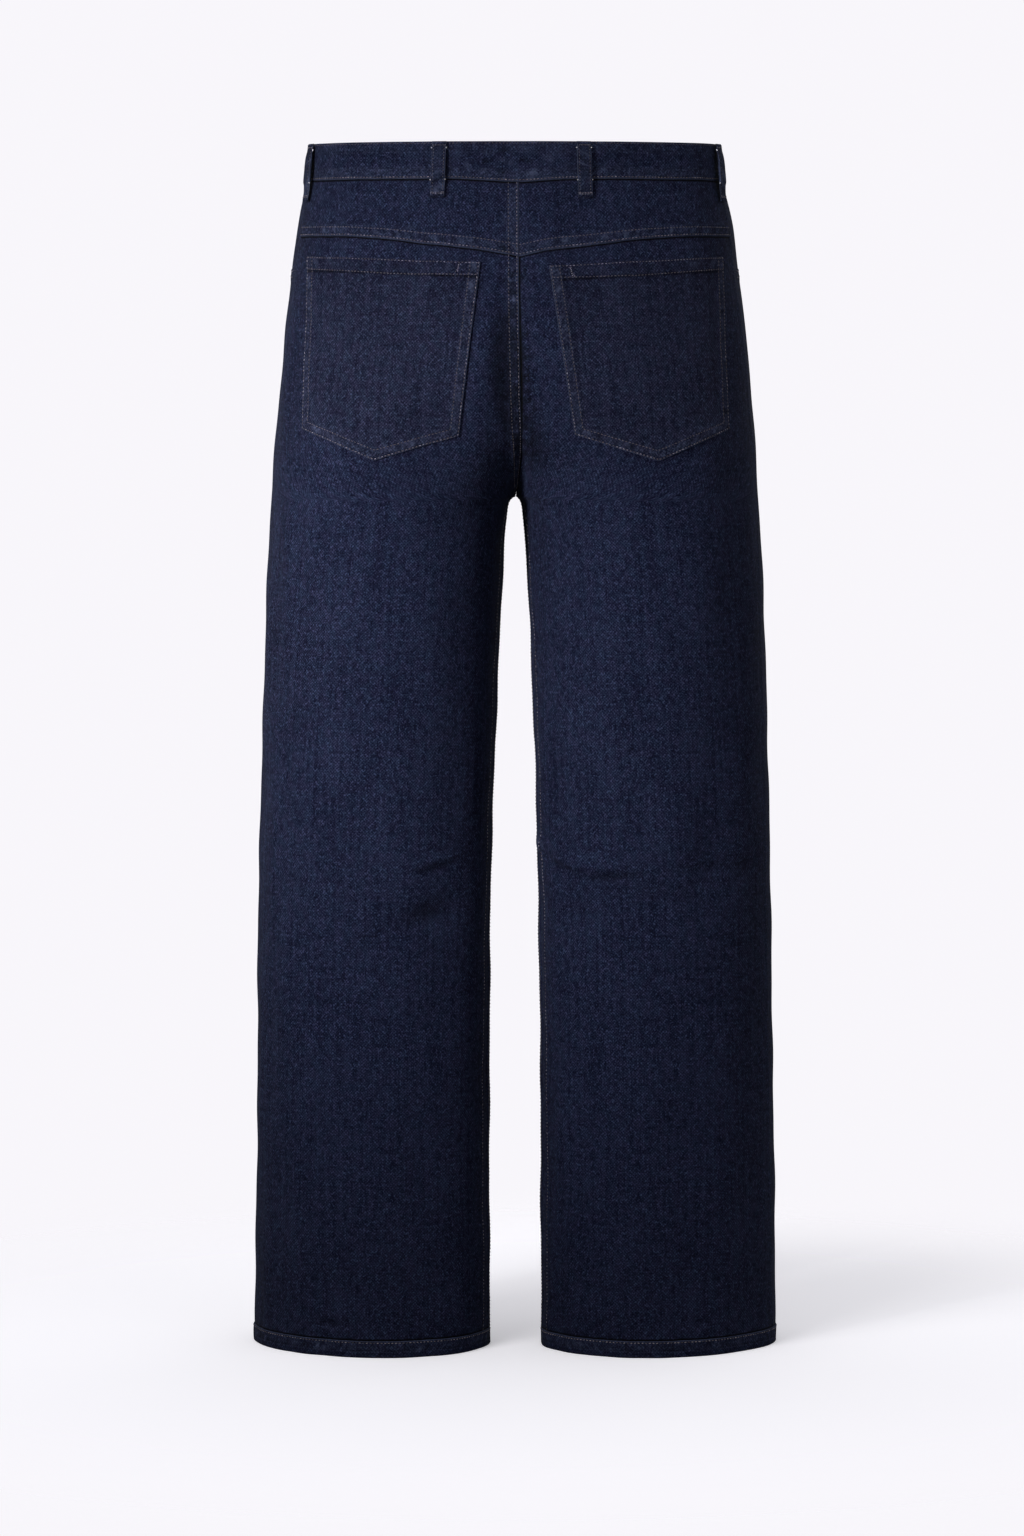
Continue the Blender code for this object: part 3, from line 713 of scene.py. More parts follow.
def dress(piece, material, nodes=(), sheet=None):
    """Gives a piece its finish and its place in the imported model."""
    piece.data.materials.append(material)
    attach(piece, "root")
    if nodes:
        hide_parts(*nodes)
    if sheet is not None:
        flat, area = sheet.cut()
    return piece


def side_name(stem, side):
    """The name with the wearer's side at its end, or as it is where the side is 0."""
    return stem + ("", "_left", "_right")[side]


# Threads

class Thread(NamedTuple):
    points: np.ndarray
    out: np.ndarray
    seed: int
    pitch: float = 0.0031
    girth: float = 1.0
    tone: float = 1.0


STITCHES = {}


def keep_thread(group, patch, cells, seed, pitch=0.0031, girth=1.0, tone=1.0):
    """Notes a row of stitches along cells of a patch, to be sewn when all the cloth is made."""
    points = patch.surface()
    rows, columns = zip(*cells)
    path = points[list(rows), list(columns)]
    out = patch.out[list(rows), list(columns)]
    STITCHES.setdefault(group, []).append(Thread(path, out, seed, pitch, girth, tone))


def column_cells(patch, column, low=0, high=None):
    """Cells up one column of a patch."""
    rows, columns = patch.turn.shape
    return [(row, column % columns) for row in range(rows)[low:high]]


def row_cells(patch, row, first=0, last=None):
    """Cells along one row of a patch."""
    rows, columns = patch.turn.shape
    return [(row % rows, column) for column in range(columns)[first:last]]


def along_path(at, run, values):
    """Values between those of a path's points, at these distances along it."""
    return np.stack([np.interp(at, run, values[:, axis]) for axis in range(3)], axis=-1)


def stitch_stations(thread):
    """Middle, forward and outward directions of each stitch along a thread, and its random draws."""
    run = run_along(thread.points[None])[0]
    count = max(int(run[-1] / thread.pitch), 1)
    rng = np.random.default_rng(thread.seed)
    at = (np.arange(count) + 0.5) * run[-1] / count + rng.uniform(-0.00012, 0.00012, count)
    half = 0.4 * thread.pitch
    ahead = along_path(at + half, run, thread.points) - along_path(at - half, run, thread.points)
    return along_path(at, run, thread.points), unit(ahead), unit(along_path(at, run, thread.out)), rng


STITCH_SIDES = 5
# Along a stitch from end to end: share of its length, swell and height, as shares of its radius
STITCH_RINGS = ((-0.50, 0.30, -0.34), (-0.30, 0.95, 0.10), (0.30, 0.95, 0.10), (0.50, 0.30, -0.34))


def sew_threads(name, threads, radius):
    """One mesh of all these stitches: each a short bead that dips into the cloth at both ends."""
    each = STITCH_SIDES * len(STITCH_RINGS)
    points = []
    tints = []
    for thread in threads:
        middle, ahead, out, rng = stitch_stations(thread)
        sideways = np.cross(ahead, out)
        length = thread.pitch * rng.uniform(0.46, 0.64, len(middle))
        thick = radius * thread.girth * rng.uniform(0.85, 1.12, len(middle))
        sway = rng.uniform(-0.10, 0.10, len(middle)) * thread.pitch
        angles = 2.0 * math.pi * np.arange(STITCH_SIDES) / STITCH_SIDES
        rings = []
        for share, swell, height in STITCH_RINGS:
            centre = middle + ahead * (share * length)[:, None] + out * (height * thick)[:, None]
            centre = centre + sideways * (2.0 * share * sway)[:, None]
            round_it = (sideways[:, None] * np.cos(angles)[None, :, None]
                        + 0.8 * out[:, None] * np.sin(angles)[None, :, None])
            rings.append(centre[:, None] + round_it * (swell * thick)[:, None, None])
        points.append(np.stack(rings, axis=1).reshape(-1, 3))
        tint = thread.tone * rng.uniform(0.0, 1.0, len(middle))
        tints.append(np.repeat(tint, each))
    points = np.vstack(points)
    faces = []
    for ring in range(len(STITCH_RINGS) - 1):
        for k in range(STITCH_SIDES):
            j = (k + 1) % STITCH_SIDES
            low = ring * STITCH_SIDES
            faces.append((low + k, low + j, low + STITCH_SIDES + j, low + STITCH_SIDES + k))
    starts = np.arange(len(points) // each) * each
    sides = (np.array(faces)[None] + starts[:, None, None]).reshape(-1, 4).tolist()
    cap = np.arange(STITCH_SIDES)
    caps = (cap[::-1][None] + starts[:, None]).tolist()
    caps += (cap[None] + each - STITCH_SIDES + starts[:, None]).tolist()
    mesh = bpy.data.meshes.new(name)
    mesh.from_pydata(points.tolist(), [], sides + caps)
    mark(mesh, "tint", np.concatenate(tints))
    return finish_piece(name, mesh)


# Finishes

RANGE_SOCKETS = ("Value", "From Min", "From Max", "To Min", "To Max")


class Finish:
    """Builds the nodes of one finish."""

    def __init__(self, name):
        self.material = bpy.data.materials.new(name)
        self.material.use_nodes = True
        self.tree = self.material.node_tree
        self.shader = self.tree.nodes["Principled BSDF"]

    def feed(self, socket, value):
        """Links a node or sets a plain value."""
        if isinstance(value, bpy.types.NodeSocket):
            self.tree.links.new(value, socket)
        else:
            socket.default_value = value

    def add(self, kind, values=(), **settings):
        """A node with these settings, its first sockets fed in order."""
        node = self.tree.nodes.new(kind)
        for key, value in settings.items():
            setattr(node, key, value)
        for socket, value in zip(node.inputs, values):
            if value is not None:
                self.feed(socket, value)
        return node

    def read(self, name):
        """A value stored on the mesh: its vector and its number."""
        node = self.add("ShaderNodeAttribute", attribute_name=name, attribute_type="GEOMETRY")
        return node.outputs["Vector"], node.outputs["Fac"]

    def maths(self, operation, *values):
        """One step of arithmetic."""
        return self.add("ShaderNodeMath", values, operation=operation).outputs[0]

    def plus(self, first, *others):
        """The sum of them all."""
        for other in others:
            first = self.maths("ADD", first, other)
        return first

    def times(self, first, *others):
        """The product of them all."""
        for other in others:
            first = self.maths("MULTIPLY", first, other)
        return first

    def stretch(self, vector, scale):
        """A vector scaled along each axis."""
        return self.add("ShaderNodeVectorMath", (vector, scale), operation="MULTIPLY").outputs[0]

    def noise(self, vector, scale, detail=2.0, rough=0.5):
        """Soft noise, with this many cells for a metre along each axis."""
        node = self.add("ShaderNodeTexNoise", noise_dimensions="3D")
        self.feed(node.inputs["Vector"], self.stretch(vector, scale))
        node.inputs["Scale"].default_value = 1.0
        node.inputs["Detail"].default_value = detail
        node.inputs["Roughness"].default_value = rough
        return node.outputs["Fac"]

    def between(self, value, low, high, to_low=0.0, to_high=1.0):
        """Maps low to high smoothly onto another range."""
        node = self.add("ShaderNodeMapRange", interpolation_type="SMOOTHSTEP")
        for key, number in zip(RANGE_SOCKETS, (value, low, high, to_low, to_high)):
            self.feed(node.inputs[key], number)
        return node.outputs["Result"]

    def mix(self, share, a, b, kind="MIX"):
        """One colour over another by this share."""
        node = self.add("ShaderNodeMix", data_type="RGBA", blend_type=kind)
        self.feed(node.inputs[0], share)
        self.feed(node.inputs[6], a)
        self.feed(node.inputs[7], b)
        return node.outputs[2]

    def bump(self, height, depth, before=None):
        """A normal tilted by a height, over one from before."""
        node = self.add("ShaderNodeBump")
        node.inputs["Strength"].default_value = 1.0
        node.inputs["Distance"].default_value = depth
        self.feed(node.inputs["Height"], height)
        if before is not None:
            self.feed(node.inputs["Normal"], before)
        return node.outputs["Normal"]

    def set(self, **values):
        """Sets the named sockets of the shader."""
        for key, value in values.items():
            self.feed(self.shader.inputs[key.replace("_", " ")], value)


def colour4(colour):
    """A colour with full opacity."""
    return (*colour, 1.0)


WARM_TINT = (1.06, 0.96, 1.00, 1.0)
COOL_TINT = (0.92, 1.04, 1.02, 1.0)
SHEEN_TINT = (0.75, 0.80, 1.0, 1.0)
TAPE_DARK = (0.010, 0.011, 0.020, 1.0)
TAPE_PALE = (0.030, 0.032, 0.055, 1.0)
# Distance between the weave's dots
WEAVE_PITCH = 0.0027702703


def denim_finish(name, deep, pale):
    """Indigo denim: a close dotted weave, curled pale flecks, long warp streaks and rubbed seams."""
    colours = bpy.context.scene.jeans_colours
    f = Finish(name)
    place = f.read("place")[0]
    seam = f.read("seam")[0]
    inside = f.read("inside")[1]
    split = f.add("ShaderNodeSeparateXYZ", (place,))
    seam_split = f.add("ShaderNodeSeparateXYZ", (seam,))
    flat = f.stretch(place, (1.0, 1.0, 0.0))
    streak = f.noise(flat, (300.0, 9.0, 1.0), 3.0)
    cloud = f.noise(flat, (22.0, 15.0, 1.0), 3.0, 0.6)
    clump = f.noise(flat, (170.0, 140.0, 1.0), 2.0, 0.6)
    curl = f.noise(flat, (250.0, 210.0, 1.0), 1.0, 0.5)
    fleck = f.noise(flat, (460.0, 380.0, 1.0), 2.0, 0.7)
    fine = f.noise(flat, (820.0, 640.0, 1.0), 1.0)
    weave = dotted_weave(f, split, clump)
    worm = f.between(f.maths("ABSOLUTE", f.maths("SUBTRACT", curl, 0.5)), 0.010, 0.075, 1.0, 0.0)
    worm = f.times(worm, f.between(fleck, 0.44, 0.60))
    tone = f.plus(f.times(streak, 0.45), f.times(cloud, 0.35), f.times(clump, 0.70))
    bright = f.plus(f.between(tone, 0.50, 1.00, 0.00, 0.30), f.between(fine, 0.30, 0.70, -0.09, 0.14),
                    f.between(fleck, 0.54, 0.71, 0.0, 0.42), f.times(worm, 0.44))
    bright = f.times(bright, f.between(weave, -1.0, 1.0, 0.36, 1.55))
    bright = f.maths("MAXIMUM", f.maths("MINIMUM", bright, 1.2), 0.0)
    base = f.mix(bright, colour4(deep), colour4(pale))
    hue = f.between(f.noise(flat, (120.0, 95.0, 1.0), 2.0), 0.35, 0.65)
    base = f.mix(1.0, base, f.mix(hue, WARM_TINT, COOL_TINT), "MULTIPLY")
    # Puckers plus crease and hollow relief, read for rubbed tops and for painted shade and highlight
    pucker = split.outputs[2]
    base = f.mix(rub_share(f, seam_split, pucker, clump, fleck), base, colour4(colours.worn))
    # Painted shade in creases, hollows, pucker troughs and beside edges under seams, painted highlight on
    # lifts
    base = f.mix(1.0, base, painted_shade_and_highlight(f, seam_split, pucker), "MULTIPLY")
    paler = f.times(inside, f.between(fleck, 0.35, 0.65, 0.55, 0.95))
    base = f.mix(paler, base, colour4(colours.inside))
    nap = f.plus(f.times(weave, 0.5), f.times(fleck, 1.2))
    normal = f.bump(nap, 0.00012)
    normal = f.bump(f.plus(curl, f.times(clump, 1.4)), 0.00030, normal)
    normal = f.bump(stitch_pull(f, seam_split), 0.00045, normal)
    f.set(Base_Color=base, Roughness=f.between(fleck, 0.3, 0.7, 0.80, 0.96), Normal=normal)
    f.set(Specular_IOR_Level=0.06, Sheen_Weight=0.01, Sheen_Roughness=0.45)
    f.set(Sheen_Tint=SHEEN_TINT)
    return f.material


def dotted_weave(f, split, sway):
    """Rows of small dark dots, each row half a step on from the last, as a close twill shows them."""
    turn = 2.0 * math.pi / WEAVE_PITCH
    shift = f.times(sway, 0.0016)
    across = f.plus(split.outputs[0], shift)
    up = f.plus(split.outputs[1], f.times(sway, 0.0011))
    first = f.maths("SINE", f.times(f.plus(across, up), turn))
    second = f.maths("SINE", f.times(f.maths("SUBTRACT", across, up), turn))
    return f.times(f.plus(first, second), 0.5)


def rub_share(f, seam_split, pucker, mottle, fleck):
    """How rubbed the cloth is: most on folded edges and on the tops of puckers beside the rows."""
    distance, _, wear = seam_split.outputs
    edge = f.between(distance, 0.0010, 0.0, 0.0, 0.62)
    strip = f.between(distance, STRIP_WIDTH + 0.0008, STRIP_WIDTH - 0.0008, 0.0, 1.0)
    tops = f.times(f.between(pucker, 0.05, 0.9, 0.0, 0.60), f.between(mottle, 0.35, 0.6))
    haze = f.times(strip, f.between(fleck, 0.40, 0.72, 0.02, 0.30))
    total = f.plus(edge, tops, haze)
    return f.maths("MINIMUM", f.times(total, wear), 0.85)


def painted_shade_and_highlight(f, seam_split, drawn):
    """Painted shade where the cloth is drawn in and along the plain edge under a seam, painted highlight
    where it lifts.
    """
    distance, _, wear = seam_split.outputs
    # Painted shadow line beside an edge with no wear, as if cast by the seam's fold over it
    beside = f.between(distance, 0.0007, 0.0026, 0.90, 0.0)
    line = f.times(beside, f.between(wear, 0.02, 0.20, 1.0, 0.0))
    # Painted shade where creases, hollows and puckers draw the cloth in, painted highlight where they lift
    # it
    hollow = f.between(drawn, -1.15, -0.04, 0.40, 1.0)
    ridge = f.between(drawn, 0.15, 1.1, 1.0, 1.30)
    return f.times(f.maths("SUBTRACT", 1.0, line), f.times(hollow, ridge))


def stitch_pull(f, seam_split):
    """Small ropy ridges between the rows of stitches, and the groove that each row pulls in."""
    distance, along, wear = seam_split.outputs
    grooves = None
    for row in (STITCH_NEAR, STITCH_FAR):
        gap = f.maths("ABSOLUTE", f.maths("SUBTRACT", distance, row))
        groove = f.between(gap, 0.0, 0.0011, -1.0, 0.0)
        grooves = groove if grooves is None else f.plus(grooves, groove)
    slant = f.plus(along, f.times(distance, 0.5))
    vector = f.add("ShaderNodeCombineXYZ", (slant, distance, 0.0)).outputs[0]
    rope = f.noise(vector, (330.0, 120.0, 1.0), 2.0)
    ropes = f.times(rope, f.between(distance, STRIP_WIDTH + 0.004, STRIP_WIDTH - 0.002, 0.0, 1.6))
    return f.times(f.plus(grooves, ropes), wear)


def thread_finish(name, dark, pale):
    """Spun thread, each stitch a little different, in patches of tone and with fine dark fuzz."""
    f = Finish(name)
    tint = f.read("tint")[1]
    position = f.add("ShaderNodeTexCoord").outputs["Object"]
    patchy = f.noise(position, (60.0, 60.0, 60.0), 2.0)
    fuzz = f.noise(position, (2600.0, 2600.0, 2600.0), 1.0)
    share = f.plus(f.times(f.maths("POWER", tint, 1.5), 0.85), f.times(patchy, 0.5))
    base = f.mix(f.between(share, 0.22, 1.15), colour4(dark), colour4(pale))
    base = f.mix(f.between(fuzz, 0.4, 0.7, 0.0, 0.35), base, colour4([0.6 * c for c in dark]))
    f.set(Base_Color=base, Roughness=f.between(fuzz, 0.3, 0.7, 0.60, 0.85), Normal=f.bump(fuzz, 0.00012))
    f.set(Specular_IOR_Level=0.35, Sheen_Weight=0.08)
    return f.material


def tape_finish(name):
    """Close woven zip tape with fine crosswise ribs."""
    f = Finish(name)
    place = f.read("place")[0]
    rib = f.add("ShaderNodeTexWave", bands_direction="Y", wave_type="BANDS")
    f.feed(rib.inputs["Vector"], f.stretch(place, (0.0, 1.0, 0.0)))
    rib.inputs["Scale"].default_value = 420.0
    rib.inputs["Distortion"].default_value = 0.4
    patchy = f.noise(place, (700.0, 500.0, 0.0), 2.0)
    base = f.mix(patchy, TAPE_DARK, TAPE_PALE)
    height = f.plus(rib.outputs["Fac"], patchy)
    f.set(Base_Color=base, Roughness=f.between(patchy, 0.3, 0.7, 0.72, 0.9), Normal=f.bump(height, 0.00012))
    return f.material


def metal_finish(name):
    """Dull aged brass, darker in patches and rubbed bright in others."""
    f = Finish(name)
    metal = bpy.context.scene.jeans_colours.metal
    position = f.add("ShaderNodeTexCoord").outputs["Object"]
    patch = f.noise(position, (420.0, 420.0, 420.0), 4.0, 0.6)
    fine = f.noise(position, (3800.0, 3800.0, 3800.0), 2.0)
    dark = [0.35 * c for c in metal]
    base = f.mix(f.between(patch, 0.35, 0.65), colour4(metal), colour4(dark))
    rough = f.plus(f.between(patch, 0.35, 0.7, 0.30, 0.52), f.times(fine, 0.12))
    f.set(Base_Color=base, Roughness=rough, Normal=f.bump(fine, 0.00003), Metallic=1.0)
    return f.material


def finish_named(name):
    """The finish of this name, made once."""
    found = bpy.data.materials.get(name)
    if found:
        return found
    colours = bpy.context.scene.jeans_colours
    denims = {
        "indigo_denim": (colours.deep, colours.speck),
        "indigo_pocket_denim": (colours.pocket_deep, colours.pocket_speck),
        "indigo_loop_denim": ([0.9 * part for part in colours.deep],
                              [0.84 * part for part in colours.speck]),
    }
    threads = {
        "topstitch_thread": (colours.thread_dark, colours.thread_pale),
        "pale_thread": (colours.thread_middle, colours.thread_bright),
        "white_thread": ([0.6 * part for part in colours.thread_ends], colours.thread_ends),
    }
    if name in denims:
        return denim_finish(name, *denims[name])
    if name in threads:
        return thread_finish(name, *threads[name])
    return tape_finish(name) if name == "woven_zip_tape" else metal_finish(name)


# Pieces

EDGES = ("first", "last", "foot", "head")


def plain_edge(seed, pucker, spread=0.0060):
    """An edge with no strip of its own, pulled by the seam beside it."""
    # With no wear, the finish paints a shadow line beside this edge
    return Seam(seed, rise=0.0, width=0.0, pucker=pucker, spread=spread, wear=0.0)


def side_edge(seed):
    """A side seam, pressed open, with the least rise."""
    return Seam(seed, rise=0.0003, width=0.0016, pucker=0.00016, wear=0.25)


def cloth(stem, side, patch, thick, held, rests_on, finish="indigo_denim", slot="denim", **shape):
    """One sewn piece, in the place of the solid of the same name."""
    piece = shell(side_name("cloth_" + stem, side), patch, thick, **shape)
    return dress(piece, finish_named(finish), [side_name(stem, side)], patch)


def panel_heights():
    """Rows of a leg panel, close at the hem and wherever it creases or bends."""
    low = HEM_HEIGHT + SEAM_GAP
    rows = [low + step for step in SEWN_STEPS]
    for (start, spacing), (end, _) in zip(PANEL_BANDS, PANEL_BANDS[1:]):
        rows.extend(np.linspace(start, end, max(round((end - start) / spacing), 1) + 1)[1:])
    return np.array(sorted(set(round(float(z), 6) for z in rows)))


FINE_TURNS = np.linspace(0.0, 1.0, 260)[None]


def panel_patch(side, behind):
    """A leg panel, its rows level up to the hip and then fanned up to its top edge."""
    spacing = bpy.context.scene.jeans_sizes.cloth_grid
    level = panel_heights()
    way = 1.0 if behind else -1.0
    start = side_seam(level) + way * seam_back_off(side_seam(level), level)
    end = way * inner_edge(level)
    turns = blend(start[:, None], end[:, None], FINE_TURNS)
    heights = np.broadcast_to(level[:, None], turns.shape)
    fan = 0.068
    shares = steps_in([fan], (0.0, 0.0022), SEWN_STEPS, 0.0022)[0][1:] / fan
    top = (yoke_seam if behind else scoop)(turns[-1]) - 0.5 * SEAM_GAP
    turns = np.vstack((turns, np.repeat(turns[-1:], len(shares), axis=0)))
    heights = np.vstack((heights, blend(heights[-1], top, shares[:, None])))
    return Patch(side, turns, heights, PLAIN_STEPS, SEWN_STEPS, spacing)


def back_panel(side):
    """The back of a leg and half the seat. The left one is felled over the right at the centre."""
    patch = panel_patch(side, behind=True)
    up = patch.foot
    seat = patch.z >= CROTCH_Z
    felled = seat & (side > 0)
    centre = Seam(seed=20 + side, rise=0.0009, pucker=0.00060, wear=1.15)
    leg = Seam(seed=24 + side, rise=0.0006, pucker=0.00026)
    plain = plain_edge(28 + side, 0.00030, 0.0045)
    join = smooth_step(CROTCH_Z - CROTCH_JOIN, CROTCH_Z + CROTCH_JOIN, patch.z)
    before = patch.lift.copy()
    sew(patch, patch.last, up, leg)
    legs = patch.lift - before
    patch.lift = before.copy()
    sew(patch, patch.last, up, centre if side > 0 else plain)
    patch.lift = before + blend(legs, patch.lift - before, join)
    # On the right seat the edge under the felled centre seam gets no wear, so the finish paints a shadow
    # line beside it
    patch.seam[..., 2] = np.where(seat & ~felled, 0.0, patch.seam[..., 2])
    sew(patch, patch.first, up, side_edge(31 + side))
    sew(patch, patch.foot, patch.first, plain_edge(33 + side, 0.00090, 0.0075))
    sew(patch, patch.head, patch.first, plain_edge(35 + side, 0.00050))
    soften(patch, EDGES, 0.0005)
    low = int(np.searchsorted(patch.z[:, 0], CROTCH_Z))
    far = -1 - FAR_LINE
    near = -1 - NEAR_LINE
    keep_thread("inseam", patch, column_cells(patch, near, 0, low), 40 + side)
    keep_thread("inseam", patch, column_cells(patch, far, 0, low), 42 + side, tone=0.5)
    shown = int(np.argmin(np.abs(patch.last[0] - INSEAM_ROW)))
    keep_thread("inseam", patch, column_cells(patch, shown, 0, low - 4), 46 + side, tone=1.3)
    if side > 0:
        keep_thread("centre_back", patch, column_cells(patch, near, low), 44)
        keep_thread("centre_back", patch, column_cells(patch, far, low), 45, tone=0.6)
    low_only = () if side > 0 else ("last",)
    return cloth("back_panel", side, patch, CLOTH, "hung", ["cloth_waistband"],
                 inside=1.0, turned=("first", "last"), low_only=low_only)


def front_panel(side):
    """The front of a leg, scooped out for the pocket at its top."""
    patch = panel_patch(side, behind=False)
    up = patch.foot
    past_scoop = patch.turn < PAST_SCOOP
    centre = patch.z >= CROTCH_Z
    fly = Seam(seed=50 + side, rise=0.0006, pucker=0.00026)
    plain = plain_edge(52 + side, 0.00022, 0.0045)
    felled = centre & (side > 0) & (patch.z < FLY_LOW_Z)
    join = smooth_step(CROTCH_Z - CROTCH_JOIN, CROTCH_Z + CROTCH_JOIN, patch.z)
    join = join * (1.0 - smooth_step(FLY_LOW_Z - 0.02, FLY_LOW_Z, patch.z))
    before = patch.lift.copy()
    sew(patch, patch.last, up, fly if side > 0 else plain)
    patch.lift = before + (patch.lift - before) * join
    # Only the felled fly seam keeps its wear; the other centre edges get a painted shadow line beside them
    # in the finish
    patch.seam[..., 2] = np.where(felled, patch.seam[..., 2], 0.0)
    sew(patch, patch.first, up, side_edge(54 + side))
    sew(patch, patch.foot, patch.first, plain_edge(56 + side, 0.00060))
    pocket_edge = Seam(seed=58 + side, rise=0.0004, pucker=0.00024, wear=0.8)
    before = patch.lift.copy()
    wear = patch.seam.copy()
    sew(patch, patch.head, patch.first, pocket_edge)
    fading = smooth_step(0.004, 0.030, patch.first)
    patch.lift = before + np.where(past_scoop, 0.0, (patch.lift - before) * fading)
    patch.seam = np.where(past_scoop[..., None], wear, patch.seam)
    soften(patch, ("first", "last", "foot"), 0.0005)
    soften(patch, ("head",), 0.0003)
    last = int(np.argmax(patch.turn[-1] < SCOOP_TURN))
    for line, seed in ((NEAR_LINE, 60), (FAR_LINE, 62)):
        keep_thread("front_pockets", patch, row_cells(patch, -1 - line, 7, last), seed + side)
    if side > 0:
        low = int(np.searchsorted(patch.z[:, 0], CROTCH_Z))
        high = int(np.searchsorted(patch.z[:, -1], FLY_LOW_Z))
        keep_thread("fly", patch, column_cells(patch, -1 - NEAR_LINE, low, high), 64)
        keep_thread("fly", patch, column_cells(patch, -1 - FAR_LINE, low, high), 65)
    turned = ("last",) if side > 0 else ()
    return cloth("front_panel", side, patch, CLOTH, "hung", ["cloth_waistband"], inside=1.0, turned=turned)


def pocket_facing(side):
    """Level with the side seam, and tucked behind the front panel's scooped edge."""
    top = BAND_SEAM_Z - 0.5 * SEAM_GAP
    start = SIDE_SEAM_HIP - float(seam_back_off(SIDE_SEAM_HIP, 1.0))
    share = FINE_TURNS[0]
    turns = blend(start, FACING_END, share)
    near = (-0.0012, -0.0007, -0.0002, 0.0003, 0.0008, 0.0016, 0.0030, 0.0050, 0.0080, 0.0120)
    above = 0.012 + 0.066 * np.linspace(0.0, 1.0, 24)[1:]
    steps = np.concatenate((np.linspace(-0.028, -0.002, 12), near, above))[:, None]
    below_top = 0.0004 * (len(steps) - np.arange(len(steps)))[:, None]
    rise = np.minimum(scoop(turns)[None] + steps, top - below_top)
    rise[-1] = top
    patch = Patch(side, turns, rise, PLAIN_STEPS, PLAIN_STEPS, 0.003)
    below = patch.z - scoop(patch.turn)
    tuck = 1.0 - smooth_step(-0.0008, 0.0004, below)
    patch.lift = -tuck * (CLOTH + PATCH_GAP + 0.0004)
    sew(patch, patch.first, patch.foot, side_edge(70 + side))
    soften(patch, ("first", "head"), 0.0005)
    piece = shell(side_name("cloth_pocket_facing", side), patch, POCKET_CLOTH, inside=1.0)
    node = side_name("front_pocket_facing", side)
    return dress(piece, finish_named("indigo_denim"), [node], patch)


def yoke(side):
    """Half the back yoke, its foot felled over the back panel."""
    start = SIDE_SEAM_HIP + float(seam_back_off(SIDE_SEAM_HIP, 1.0))
    turns = blend(start, float(inner_edge(1.0)), FINE_TURNS[0])
    low = yoke_seam(turns) + 0.5 * SEAM_GAP
    high = band_seam(turns) - 0.5 * SEAM_GAP
    tall = 0.056
    shares = steps_in([tall], SEWN_STEPS, PLAIN_STEPS, 0.0022)[0] / tall
    heights = blend(low, high, shares[:, None])
    patch = Patch(side, turns, heights, PLAIN_STEPS, SEWN_STEPS, 0.0020)
    sew(patch, patch.foot, patch.first, Seam(seed=80 + side, rise=0.0009, pucker=0.00060, wear=0.8))
    if side > 0:
        before = patch.lift.copy()
        sew(patch, patch.last, patch.foot, Seam(seed=83, rise=0.0009, pucker=0.00060, wear=1.15))
        patch.lift = np.maximum(before, patch.lift)
    sew(patch, patch.head, patch.first, plain_edge(85 + side, 0.00055, 0.0070))
    soften(patch, EDGES, 0.0005)
    for line, seed, tone in ((NEAR_LINE, 90, 0.9), (FAR_LINE, 92, 0.55)):
        keep_thread("yoke", patch, row_cells(patch, line), seed + side, tone=tone)
        if side > 0:
            keep_thread("centre_back", patch, column_cells(patch, -1 - line), seed + 6, tone=tone)
    turned = ("first", "foot", "last") if side > 0 else ("first", "foot")
    return cloth("back_yoke", side, patch, CLOTH, "hung", ["cloth_waistband"], inside=1.0, turned=turned)


def waistband():
    """One folded band, from the lap's upper end round by the back to its under end."""
    half = float(OUTER(BAND_SEAM_Z))
    start = -math.acos(LAP_LEFT_X / half)
    end = 2.0 * math.pi - math.acos(LAP_RIGHT_X / half)
    turns = blend(start, end, np.linspace(0.0, 1.0, 1200))
    low = band_seam(turns) + 0.5 * SEAM_GAP
    tall = 0.0318
    from_foot = (0.0, 0.0003, 0.0008, STITCH_NEAR, 0.0024, 0.0036)
    from_head = (0.0, 0.0003, 0.0008, 0.0016, 0.0026)
    shares = steps_in([tall], from_foot, from_head, 0.0017)[0] / tall
    heights = blend(low, HEIGHT, shares[:, None])
    patch = Patch(1, turns, heights, PLAIN_STEPS, PLAIN_STEPS, 0.0023)
    patch.lift = PROUD - LAP_DIP * smooth_step(LAP_DIP_START, LAP_DIP_END, patch.turn)
    foot_fold = Seam(seed=100, rise=0.0, width=0.0034, pucker=0.00050, spread=0.0070)
    sew(patch, patch.foot, patch.first, foot_fold)
    top_fold = Seam(seed=103, rise=0.0, width=0.0030, pucker=0.00022, spread=0.0040, wear=0.55)
    sew(patch, patch.head, patch.first, top_fold)
    rumple(patch)
    soften(patch, ("first", "last", "foot"), 0.0006)
    soften(patch, ("head",), 0.0013)
    keep_thread("waistband", patch, row_cells(patch, NEAR_LINE, 2, -3), 104, girth=0.9, tone=0.8)
    keep_thread("waistband_top", patch, row_cells(patch, -4, 2, -3), 105, girth=0.8, tone=0.35)
    rests_on = ["cloth_back_yoke_left", "cloth_back_yoke_right"]
    return cloth("waistband", 0, patch, FOLDED_CLOTH, "folded", rests_on, turned=("foot",))


